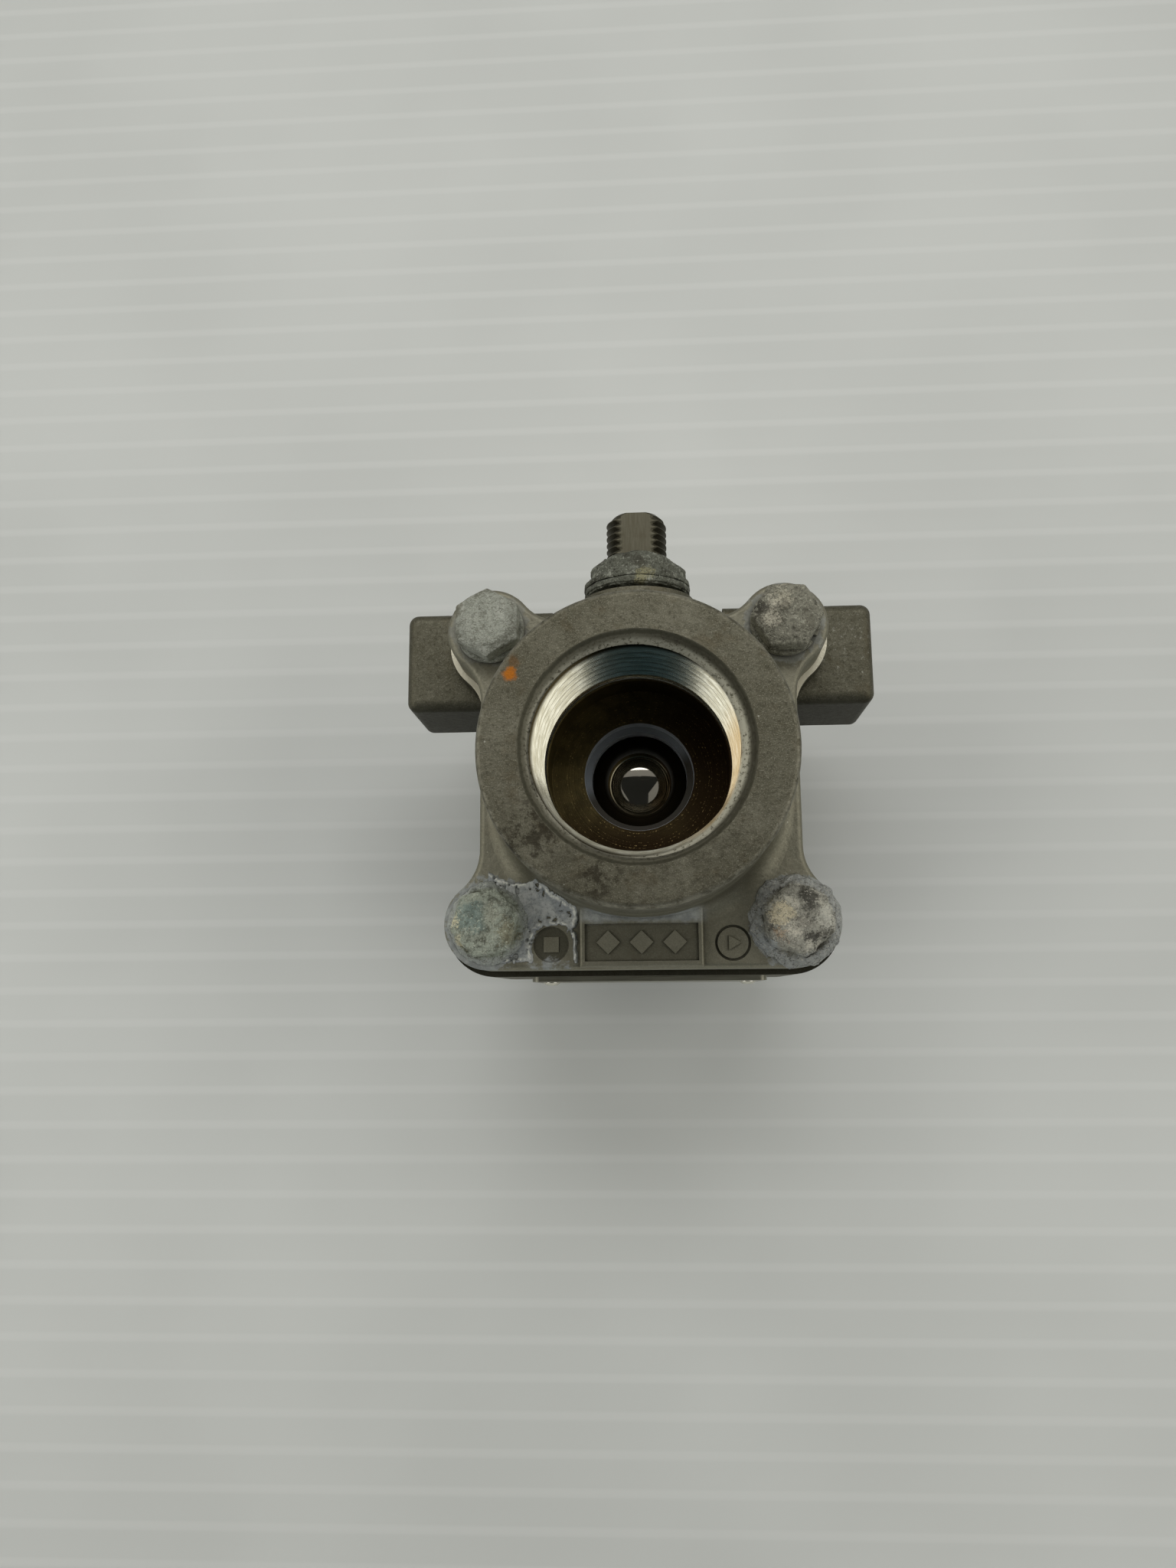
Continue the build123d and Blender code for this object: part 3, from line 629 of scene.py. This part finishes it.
def bore_radius(_, height, depth):
    """The port's tapered thread, which fades out at its inner end and opens into the mouth's cone."""
    fade = np.clip((height - THREAD_END) / (1.2 * THREAD_PITCH), 0, 1)
    crest = THREAD_MOUTH_RADIUS - THREAD_TAPER * (THREAD_START - height)
    threaded = crest + depth * THREAD_DEPTH * fade
    return np.maximum(threaded, MOUTH_RADIUS - (FRONT_FACE - height))


def end_cap(node, material):
    """An end cap as cast, with its ring grooves replaced by a helical thread.

    Its faces use three materials: the casting, the thread and the bore behind the thread.
    """
    front = node == "front_cap"
    built = copy_in_mm(node)

    depth_of_end = FRONT_FACE - THREAD_END

    def depth_of(z):
        return FRONT_FACE - z if front else z

    def in_thread(c):
        return math.hypot(c.x, c.y) < MOUTH_RADIUS and 1e-3 < depth_of(c.z) < depth_of_end - 1e-2

    delete_faces(built, in_thread)
    for face in built.faces:
        c = face.calc_center_median()
        if math.hypot(c.x, c.y) < MOUTH_RADIUS - 2 and depth_of(c.z) > 1:
            face.material_index = 2
    turned, height, radius = helix_rows(BORE_PROFILE, THREAD_PITCH, THREAD_END, FRONT_FACE, bore_radius)
    side = 1 if front else -1
    x = radius * np.cos(turned) * side
    y = radius * np.sin(turned)
    z = height if front else LENGTH - height
    add_grid(built, np.stack([x, y, z], axis=2).tolist(), material=1)
    mesh = to_mesh(node + "_cast", built)
    materials = [material, MACHINED, GRIME]
    add_piece(node + "_cast", mesh, "valve_body", materials, [node])


def cove_reach(angle):
    """The radius of the cast fillet round a hub, wide towards the lugs and narrow at the waists."""
    return COVE_NARROWEST + COVE_WIDENING * np.abs(np.sin(2 * angle)) ** 1.5


def cove_height(x, y):
    """How high the front cove stands over the flange at each place."""
    reach = cove_reach(np.arctan2(y, x))
    share = np.clip((np.hypot(x, y) - HUB_RADIUS) / reach, 0, 1)
    return reach * (1 - np.sqrt(1 - (1 - share) ** 2))


def hub_cove(name, material, front):
    """The cast fillet between hub and flange."""
    built = bmesh.new()
    rows = []
    for i in range(COVE_STEPS_ROUND + 1):
        angle = 2 * math.pi * i / COVE_STEPS_ROUND
        reach = cove_reach(angle)
        row = []
        for k in range(COVE_STEPS_UP + 1):
            turn = math.pi / 2 * k / COVE_STEPS_UP
            out = HUB_RADIUS - COVE_OVERLAP + reach * (1 - math.cos(turn))
            up = FLANGE - COVE_OVERLAP + reach * (1 - math.sin(turn))
            z = up if front else LENGTH - up
            row.append((out * math.cos(angle), out * math.sin(angle), z))
        rows.append(row)
    add_grid(built, rows, flip=not front)
    add_piece(name, to_mesh(name, built), "valve_body", [material])


def stem_radius(angle, height, depth):
    """The stem's thread, its tip chamfer, and the two flats near its end."""
    fade = smooth_step(height, STEM_THREAD_START, STEM_THREAD_START + 1)
    radius = STEM_RADIUS - STEM_THREAD_DEPTH * depth * fade
    radius = np.minimum(radius, STEM_RADIUS - STEM_TIP_CHAMFER + (STEM_TOP - height))
    flat = STEM_HALF_FLATS / np.maximum(np.abs(np.sin(angle)), 1e-6)
    return np.where(height > STEM_FLATS_BOTTOM, np.minimum(radius, flat), radius)


def stem(material):
    """The stem, with its ring grooves replaced by a helical thread."""
    built = copy_in_mm("stem")
    delete_faces(built, lambda c: c.y > STEM_THREAD_START + 1e-3)
    turned, height, radius = helix_rows(
        STEM_PROFILE, STEM_PITCH, STEM_THREAD_START, STEM_TOP, stem_radius, steps=180
    )
    x = radius * np.cos(turned)
    z = BALL[2] + radius * np.sin(turned)
    add_grid(built, np.stack([x, height, z], axis=2).tolist(), flip=True)
    rim = [e for e in built.edges if e.is_boundary and min(v.co.y for v in e.verts) > STEM_TOP - 1e-3]
    bmesh.ops.holes_fill(built, edges=rim)
    mesh = to_mesh("stem_turned", built, 28)
    add_piece("stem_turned", mesh, "stem_assembly", [material], ["stem"])


def remeshed(built, voxel, smoothing=0):
    """A bmesh in millimetres as a closed mesh of even quads."""
    mesh = bpy.data.meshes.new("work")
    built.to_mesh(mesh)
    built.free()
    work = bpy.data.objects.new("work", mesh)
    bpy.context.scene.collection.objects.link(work)
    modifier = work.modifiers.new("even", "REMESH")
    modifier.mode = "VOXEL"
    modifier.voxel_size = voxel
    if smoothing:
        soft = work.modifiers.new("soft", "SMOOTH")
        soft.iterations = smoothing
        soft.factor = 0.5
    evaluated = work.evaluated_get(bpy.context.evaluated_depsgraph_get())
    result = bpy.data.meshes.new_from_object(evaluated)
    bpy.data.objects.remove(work)
    bpy.data.meshes.remove(mesh)
    return result


def points_and_normals(mesh):
    """A mesh's vertices and their normals, each as rows of three numbers."""
    points = np.zeros(len(mesh.vertices) * 3)
    mesh.vertices.foreach_get("co", points)
    normals = np.zeros(len(mesh.vertices) * 3)
    mesh.vertex_normals.foreach_get("vector", normals)
    return points.reshape(-1, 3), normals.reshape(-1, 3)


def displaced(name, mesh, amount):
    """Moves each vertex along its normal by amount(points), and gives the mesh in metres."""
    points, normals = points_and_normals(mesh)
    points = (points + normals * amount(points)[:, None]) * MM
    mesh.vertices.foreach_set("co", points.ravel())
    mesh.name = name
    mesh.update()
    mesh.shade_smooth()
    return mesh


def cut(built, height, above):
    """Keeps the part of a closed bmesh above or below a height, and closes the cut."""
    bmesh.ops.remove_doubles(built, verts=built.verts, dist=1e-4)
    everything = [*built.verts, *built.edges, *built.faces]
    sliced = bmesh.ops.bisect_plane(
        built,
        geom=everything,
        plane_co=(0, 0, height),
        plane_no=(0, 0, 1),
        clear_inner=above,
        clear_outer=not above,
    )
    rim = [e for e in sliced["geom_cut"] if isinstance(e, bmesh.types.BMEdge)]
    bmesh.ops.holes_fill(built, edges=rim)
    return built


def crusted(node, body, material, voxel, offset, rough, lump, seed, smoothing=2, rounded=0.0):
    """A CAD node under a crust: offset is its mean thickness and rough its unevenness.

    rounded is how much narrower the nut on the stem has become at its top, as a share of its radius.
    """
    mesh = remeshed(copy_in_mm(node), voxel, smoothing)

    def amount(points):
        return offset + rough * rough_noise(points, lump, seed, 4)

    mesh = displaced(node + "_crusted", mesh, amount)
    if rounded:
        points, _ = points_and_normals(mesh)
        axis = BALL[2] * MM
        radius = np.hypot(points[:, 0], points[:, 2] - axis) / MM
        outer = smooth_step(radius, STEM_RADIUS, GLAND_RADIUS)
        top = smooth_step(points[:, 1] / MM, NUT_TOP - 2.2, NUT_TOP)
        narrowed = 1 - outer * rounded * (0.45 + 0.55 * top**2)
        points[:, 0] *= narrowed
        points[:, 2] = axis + (points[:, 2] - axis) * narrowed
        mesh.vertices.foreach_set("co", points.ravel())
        mesh.update()
    add_piece(node + "_crusted", mesh, body, [material], [node])


def crusted_bolt(number, material, offset, rough, pitted, smoothing):
    """A body bolt with a crust on its head, as thick as offset on average and as uneven as rough.

    pitted is how deep the crust is broken up at its upper left.
    """
    node = f"body_bolt_{number}"
    x, y = BOLTS[number - 1]
    split = WASHER_TOP - 1

    def amount(points):
        fine = offset + rough * rough_noise(points, 1.8, 100 * number, 4)
        fine += 0.4 * rough * rough_noise(points, 0.7, 100 * number + 70, 3)
        away = np.hypot(points[:, 0] - x + 1.6, points[:, 1] - y - 2.0)
        broken = pitted * rough_noise(points, 1.1, 100 * number + 50, 4)
        broken *= smooth_step(away, 4.0, 2.0)
        return (fine + broken) * smooth_step(points[:, 2], split + 0.4, WASHER_TOP + 0.4)

    head = remeshed(cut(copy_in_mm(node), split, True), HEAD_GRID, smoothing)
    head = displaced("head", head, amount)
    joined = cut(copy_in_mm(node), split, False)
    bmesh.ops.scale(joined, verts=joined.verts, vec=(MM, MM, MM))
    joined.from_mesh(head)
    bmesh.ops.scale(joined, verts=joined.verts, vec=(1 / MM, 1 / MM, 1 / MM))
    for layer in joined.loops.layers.float_vector.values():
        joined.loops.layers.float_vector.remove(layer)
    mesh = to_mesh(node + "_crusted", joined)
    add_piece(node + "_crusted", mesh, "valve_body", [material], [node])


def ragged_disc(built, x, y, reach, ragged, seed):
    """Adds a closed disc on the flange, with a wandering edge and a sloping rim."""
    angle = np.linspace(0, 2 * math.pi, 121)
    around = np.stack([reach * np.cos(angle), reach * np.sin(angle), 0 * angle], axis=1)
    radius = reach + ragged * rough_noise(around, 2.4, seed)
    low = FLANGE - 0.3
    section = [(0.0, low), (1.0, low), (1.0, FLANGE + 0.2), (0.86, WASHER_TOP), (0.0, WASHER_TOP)]
    rows = []
    for share, z in section:
        rows.append([
            (x + share * r * math.cos(a), y + share * r * math.sin(a), z) for r, a in zip(radius, angle)
        ])
    add_grid(built, rows)


def salt_lump(number, material, reach, ragged, thick, rough, lump, seed):
    """A crust of salt over a bolt's head and washer, spreading onto the flange."""
    x, y = BOLTS[number - 1]
    built = cut(copy_in_mm(f"body_bolt_{number}"), FLANGE + 0.4, True)
    ragged_disc(built, x, y, reach, ragged, seed + 7)
    mesh = remeshed(built, LUMP_GRID, 4)

    def amount(points):
        return thick + rough * rough_noise(points, lump, seed, 5)

    name = f"salt_crust_{number}"
    add_piece(name, displaced(name, mesh, amount), "valve_body", [material])


def gland_salt(material):
    """Lumps of salt that fill the steps between the gland nut and the springs under it."""
    built = bmesh.new()
    section = [
        (8.2, 36.5), (9.5, 36.5), (9.55, 37.6), (9.1, 38.6), (8.75, 40.0), (8.6, 41.2), (7.6, 41.6),
        (7.6, 36.5), (8.2, 36.5),
    ]
    angle = np.linspace(0, 2 * math.pi, 97)
    rows = [[(r * math.cos(a), y, BALL[2] + r * math.sin(a)) for a in angle] for r, y in section]
    add_grid(built, rows)
    mesh = remeshed(built, GLAND_GRID, 2)

    def amount(points):
        return 0.42 * rough_noise(points, 2.6, 820, 5) - 0.12

    add_piece("gland_salt", displaced("gland_salt", mesh, amount), "stem_assembly", [material])


def distance_inside(points, outline):
    """How far points lie inside a closed outline, negative outside it, in millimetres."""
    x, y = points[:, 0], points[:, 1]
    nearest = np.full(len(points), np.inf)
    inside = np.zeros(len(points), bool)
    for (ax, ay), (bx, by) in zip(outline, outline[1:] + outline[:1]):
        side_x, side_y = bx - ax, by - ay
        along = ((x - ax) * side_x + (y - ay) * side_y) / (side_x**2 + side_y**2)
        along = np.clip(along, 0, 1)
        nearest = np.minimum(nearest, np.hypot(x - ax - along * side_x, y - ay - along * side_y))
        if side_y:
            inside ^= ((ay > y) != (by > y)) & (x < ax + (y - ay) * side_x / side_y)
    return np.where(inside, nearest, -nearest)


def salt_film(name, outline, material, thick, seed):
    """A skin of salt on the front flange inside a wandering outline, with a raised and pitted rim."""
    low = np.min(outline, axis=0) - 1
    high = np.max(outline, axis=0) + 1
    x, y = np.meshgrid(np.arange(low[0], high[0], FILM_GRID), np.arange(low[1], high[1], FILM_GRID))
    points = np.stack([x.ravel(), y.ravel(), np.full(x.size, FLANGE)], axis=1)
    bolt_x, bolt_y = BOLTS[2]
    lug = np.hypot(points[:, 0] - bolt_x, points[:, 1] - bolt_y)
    edge = np.where(points[:, 0] < bolt_x, 6.3 - lug, points[:, 1] - bolt_y + 6.3)
    inside = distance_inside(points, outline) + 0.55 * rough_noise(points, 1.8, seed, 4)
    inside = np.minimum(inside, edge)
    inside = np.minimum(inside, np.hypot(points[:, 0], points[:, 1]) - HUB_RADIUS - 0.1)
    rim = np.exp(-(((inside - 0.5) / 0.35) ** 2))
    height = thick * smooth_step(inside, 0, 0.45)
    height += 0.22 * rim * smooth_step(rough_noise(points, 1.0, seed + 5, 4), -0.5, 0.3)
    height += 0.07 * rough_noise(points, 2.4, seed + 9, 4) + 0.03 * rough_noise(points, 0.5, seed + 13, 2)
    pits = smooth_step(rough_noise(points, 0.7, seed + 17, 3), 0.12, 0.32)
    height -= 0.35 * pits * smooth_step(inside, 2.4, 1.2)
    points[:, 2] += np.where(inside > 0, height, -0.2)
    shown = points[:, 2] > FLANGE
    points[:, 2] += cove_height(points[:, 0], points[:, 1])
    built = bmesh.new()
    layer = built.verts.layers.float.new("thickness")
    made = [built.verts.new(point) for point in points]
    for vertex, thickness in zip(made, height):
        vertex[layer] = thickness
    rows, columns = x.shape
    for i, j in itertools.product(range(rows - 1), range(columns - 1)):
        k = i * columns + j
        corners = [k, k + 1, k + columns + 1, k + columns]
        if any(shown[c] for c in corners):
            built.faces.new([made[c] for c in corners])
    bmesh.ops.delete(built, geom=[v for v in built.verts if not v.link_faces], context="VERTS")
    add_piece(name, to_mesh(name, built, 180), "valve_body", [material])


def film_of_salt(name):
    """Blue-grey salt, paler where it is thick and dark in its pits."""
    s = Shader(name)
    attribute = s.node("ShaderNodeAttribute")
    attribute.attribute_name = "thickness"
    thickness = attribute.outputs["Fac"]
    cloud = s.noise(2.5, 4, 0.65, shift=15)
    colour = s.mix(s.step(cloud, 0.4, 0.6), srgb(152, 156, 156), srgb(188, 190, 186))
    colour = s.mix(s.step(thickness, 0.26, 0.42), colour, srgb(226, 226, 216))
    colour = s.mix(s.step(thickness, 0.1, -0.02), colour, srgb(48, 46, 38))
    grain = s.noise(0.35, 4, 0.7, shift=4)
    colour = s.mix(s.both(s.step(grain, 0.5, 0.64), 0.45), colour, srgb(104, 105, 99))
    s.bump(grain, 0.08)
    return s.finish(colour, 0.0, 0.85)


# Materials

CAST = cast_steel("cast_stainless")
CAST_FRONT = cast_steel("cast_stainless_stained", front=True)
CAST_BODY = cast_steel("cast_stainless_body", machined=BODY_FACE)
MACHINED = machined_steel("machined_stainless")
GRIME = grimy_bore("oily_bore")
BALL_METAL = mirror_ball("polished_ball")
SEAT = seat_polymer("seat_polymer", srgb(236, 240, 244), srgb(206, 212, 220), shaded_face=True)
SEAL = seat_polymer("seal_polymer", srgb(214, 213, 205), srgb(184, 182, 172))
STEM_STEEL = turned_steel("stem_steel")
DULL_STEEL = turned_steel("dull_steel", (1, 1, 0.15))
PLATE = plate_metal("nameplate_metal")
BRIGHT = Shader("bright_pin").finish(srgb(215, 212, 200), 1.0, 0.22)


def on_bolt(number, *patches):
    """Patches of colour given by their places from a bolt's own axis."""
    x, y = BOLTS[number - 1]
    return [(x + dx, y + dy, *rest) for dx, dy, *rest in patches]


# The crusts of bolts 1 to 4
ZINC = [
    weathered_zinc(
        "zinc_1", srgb(200, 202, 190), srgb(170, 172, 160), srgb(116, 116, 102), 0.4, 11,
        on_bolt(
            1,
            (0.0, 0.0, 3.5, 0.6, srgb(194, 197, 184)),
            (-4.6, 2.4, 1.0, 0.4, srgb(120, 114, 92)),
        ),
        dirt=0.4,
    ),
    weathered_zinc(
        "zinc_2", srgb(190, 188, 170), srgb(148, 146, 130), srgb(80, 77, 65), 0.2, 27,
        on_bolt(
            2,
            (-0.8, 2.9, 1.6, 0.75, srgb(212, 206, 184)),
            (-2.6, 2.1, 0.9, 0.8, srgb(222, 216, 196)),
            (-2.8, -0.6, 1.0, 0.75, srgb(214, 208, 188)),
            (-4.0, 1.4, 0.9, 0.8, srgb(54, 51, 42)),
            (-0.6, 0.9, 0.6, 0.5, srgb(70, 66, 54)),
            (3.0, -1.5, 1.4, 0.4, srgb(104, 100, 84)),
        ),
        dirt=0.45,
    ),
    weathered_zinc(
        "zinc_3", srgb(208, 212, 194), srgb(172, 178, 162), srgb(98, 100, 86), 0.35, 45,
        on_bolt(
            3,
            (-2.0, 0.9, 2.3, 0.65, srgb(128, 150, 144)),
            (1.2, 1.2, 1.4, 0.5, srgb(190, 190, 170)),
            # The next two pale patches, at the head's left rim, are painted highlights.
            (-5.0, 0.4, 0.7, 0.9, srgb(240, 232, 196)),
            (-4.4, -2.5, 0.6, 0.8, srgb(226, 218, 184)),
            (3.4, -1.6, 1.6, 0.5, srgb(156, 147, 112)),
        ),
        BOLTS[2],
        dirt=0.3,
    ),
    weathered_zinc(
        "zinc_4", srgb(204, 200, 184), srgb(166, 164, 151), srgb(78, 75, 65), 0.45, 63,
        on_bolt(
            4,
            (-2.6, 1.0, 1.8, 0.75, srgb(236, 224, 190)),
            (-0.8, -1.6, 1.4, 0.7, srgb(236, 230, 212)),
            (-0.2, -1.0, 0.9, 0.5, srgb(112, 110, 100)),
            (4.3, 0.6, 1.7, 0.7, srgb(222, 220, 206)),
            # The next three dark patches are painted shadows between the salt lumps.
            (1.6, 2.8, 1.5, 0.8, srgb(66, 64, 56)),
            (1.4, -3.0, 1.1, 0.85, srgb(50, 48, 42)),
            (2.6, -4.2, 0.7, 0.7, srgb(60, 58, 50)),
            (-2.9, -2.4, 0.7, 0.5, srgb(196, 160, 120)),
            (-5.2, -4.2, 1.6, 0.7, srgb(176, 184, 188)),
        ),
        BOLTS[3],
        dirt=0.25,
    ),
]
CRUST_GLAND = weathered_zinc(
    "gland_crust", srgb(168, 170, 156), srgb(112, 114, 101), srgb(62, 61, 49), 0.4, 81,
    [(1.5, 38.0, 1.8, 0.6, srgb(178, 172, 130)), (0.6, 41.2, 1.4, 0.6, srgb(66, 62, 48))],
)
ZINC_BACK = weathered_zinc("zinc_back", srgb(176, 177, 167), srgb(140, 141, 130), srgb(92, 91, 80), 0.4, 99)
SALT_FILM = film_of_salt("salt_film")

# Pieces that stand for CAD nodes, and the fillets and salt that have no node

end_cap("front_cap", CAST_FRONT)
end_cap("rear_cap", CAST)
hub_cove("front_hub_cove", CAST_FRONT, True)
hub_cove("rear_hub_cove", CAST, False)
stem(STEM_STEEL)

# Each head's crust: number, mean thickness, unevenness, depth of the broken part, rounds of smoothing
HEADS = [(1, 0.28, 0.06, 0.0, 1), (2, 0.28, 0.07, 0.28, 1), (3, 0.0, 0.24, 0.0, 4), (4, 0.0, 0.28, 0.0, 4)]
for n, offset, rough, pitted, smoothing in HEADS:
    zinc = ZINC[n - 1]
    crusted_bolt(n, zinc, offset, rough, pitted, smoothing)
    washer = f"front_lock_washer_{n}"
    crusted(washer, "valve_body", zinc, WASHER_GRID, 0.04, 0.12, 1.8, 100 * n + 20)
crusted(
    "gland_nut", "stem_assembly", CRUST_GLAND, WASHER_GRID, -0.1, 0.6, 2.4, 510,
    smoothing=8, rounded=0.24,
)
# Each spring's crust: node, mean thickness, unevenness, seed
SPRINGS = [("belleville_upper", 0.02, 0.18, 530), ("belleville_lower", 0.0, 0.14, 550)]
for spring, offset, rough, seed in SPRINGS:
    crusted(spring, "stem_assembly", CRUST_GLAND, GLAND_GRID, offset, rough, 2.0, seed)

gland_salt(CRUST_GLAND)
salt_lump(3, ZINC[2], 6.3, 0.5, 0.02, 0.4, 2.0, 610)
salt_lump(4, ZINC[3], 6.9, 0.8, 0.2, 0.62, 2.1, 640)
salt_film("salt_film", BOLT_3_FILM, SALT_FILM, 0.25, 700)

# CAD nodes that are shown as they are

PLAIN = {
    "body": CAST_BODY,
    "ball": BALL_METAL,
    "front_seat": SEAT,
    "rear_seat": SEAT,
    "gland_ring": DULL_STEEL,
    "nameplate": PLATE,
    "nameplate_pin_left": BRIGHT,
    "nameplate_pin_right": BRIGHT,
}
for n in (1, 2, 3, 4):
    PLAIN[f"rear_lock_washer_{n}"] = ZINC_BACK
    PLAIN[f"hex_nut_{n}"] = ZINC_BACK
for name, node in nodes.items():
    node.data.materials.clear()
    node.data.materials.append(PLAIN.get(name, SEAL))

# Floor, light and camera

def floor():
    """A pale ribbed sheet under the valve."""
    s = Shader("ribbed_floor")
    wave = s.math("SINE", s.both(s.y, 2 * math.pi / RIB_PITCH))
    soft = s.step(wave, 0.5, 1.0)
    broad = s.noise(60, 2, 0.5)
    colour = s.mix(s.step(broad, 0.3, 0.7), srgb(206, 208, 204), srgb(212, 214, 210))
    colour = s.mix(s.both(soft, 0.25), colour, srgb(228, 229, 226))
    s.bump(wave, 0.03)
    material = s.finish(colour, 0.0, 0.5)
    bpy.ops.mesh.primitive_plane_add(size=4.0, location=(0, 0, 0))
    plane = bpy.context.object
    plane.name = "floor"
    plane.data.materials.append(material)


def photographer():
    """A dark shape over the camera, which it doesn't see. It shades the valve and shows in the ball."""
    outline = [(-105, 60), (105, 60), (95, 36), (43, -30), (43, -98), (-62, -98), (-62, -67), (-101, 0)]
    height = 0.27
    built = bmesh.new()
    built.faces.new([built.verts.new((x * MM, y * MM, height)) for x, y in outline])
    mesh = bpy.data.meshes.new("photographer")
    built.to_mesh(mesh)
    built.free()
    mesh.materials.append(Shader("dark_cloth").finish(srgb(38, 40, 40), 0.0, 0.6))
    shape = bpy.data.objects.new("photographer", mesh)
    bpy.context.scene.collection.objects.link(shape)
    shape.visible_camera = False


def area_light(name, place, target, width, height, power, colour=(1, 1, 1)):
    """A rectangular light. Places and sizes are in metres, and power in watts."""
    light = bpy.data.lights.new(name, "AREA")
    light.shape = "RECTANGLE"
    light.size = width
    light.size_y = height
    light.energy = power
    light.color = colour
    lamp = bpy.data.objects.new(name, light)
    bpy.context.scene.collection.objects.link(lamp)
    lamp.location = place
    lamp.rotation_euler = (Vector(target) - Vector(place)).to_track_quat("-Z", "Y").to_euler()


def sky():
    """Soft light all round, pale on the stem's side and dark blue opposite, and a plain backdrop."""
    world = bpy.data.worlds.new("room")
    bpy.context.scene.world = world
    world.use_nodes = True
    tree = world.node_tree
    tree.nodes.clear()
    coords = tree.nodes.new("ShaderNodeTexCoord")
    parts = tree.nodes.new("ShaderNodeSeparateXYZ")
    tree.links.new(coords.outputs["Generated"], parts.inputs[0])
    ramp = tree.nodes.new("ShaderNodeValToRGB")
    ramp.color_ramp.interpolation = "EASE"
    elements = ramp.color_ramp.elements
    elements[0].color = (0.02, 0.05, 0.07, 1)
    elements[1].color = (1.0, 0.99, 0.94, 1)
    elements.new(0.2).color = (0.05, 0.11, 0.14, 1)
    elements.new(0.34).color = (0.7, 0.7, 0.66, 1)
    half = tree.nodes.new("ShaderNodeMapRange")
    half.inputs["From Min"].default_value = -1.0
    half.inputs["From Max"].default_value = 1.0
    tree.links.new(parts.outputs[1], half.inputs["Value"])
    tree.links.new(half.outputs[0], ramp.inputs[0])
    back = tree.nodes.new("ShaderNodeBackground")
    back.inputs["Strength"].default_value = 0.38
    tree.links.new(ramp.outputs[0], back.inputs["Color"])
    wall = tree.nodes.new("ShaderNodeBackground")
    wall.inputs["Color"].default_value = BACKDROP
    seen = tree.nodes.new("ShaderNodeLightPath")
    either = tree.nodes.new("ShaderNodeMixShader")
    tree.links.new(seen.outputs["Is Camera Ray"], either.inputs[0])
    tree.links.new(back.outputs[0], either.inputs[1])
    tree.links.new(wall.outputs[0], either.inputs[2])
    out = tree.nodes.new("ShaderNodeOutputWorld")
    tree.links.new(either.outputs[0], out.inputs[0])


def camera():
    """The photograph's view, from close above the front face and tilted towards the stem."""
    data = bpy.data.cameras.new("camera")
    data.sensor_fit = "HORIZONTAL"
    data.sensor_width = 36.0
    data.lens = 36.0
    data.clip_start = 0.01
    data.clip_end = 10.0
    eye = bpy.data.objects.new("camera", data)
    bpy.context.scene.collection.objects.link(eye)
    eye.location = (0.0019, -0.0354, 0.251)
    eye.rotation_euler = [math.radians(a) for a in (10.2, 3.2, -0.47)]
    bpy.context.scene.camera = eye


floor()
photographer()
sky()
camera()
centre = (0, 0, 0.04)
area_light("left_window", (-0.6, -0.02, 0.55), centre, 0.9, 0.5, 1.7, (1.0, 0.99, 0.95))
area_light("right_window", (0.6, -0.05, 0.55), centre, 0.9, 0.5, 1.75, (1.0, 0.98, 0.93))
area_light("low_window", (0, -0.5, 0.12), (0, -0.1, 0), 0.5, 0.1, 0.3)
area_light("ceiling", (0.0, 0.5, 0.8), centre, 0.8, 0.3, 2.4)

scene = bpy.context.scene
scene.view_settings.view_transform = "Standard"
scene.view_settings.look = "None"
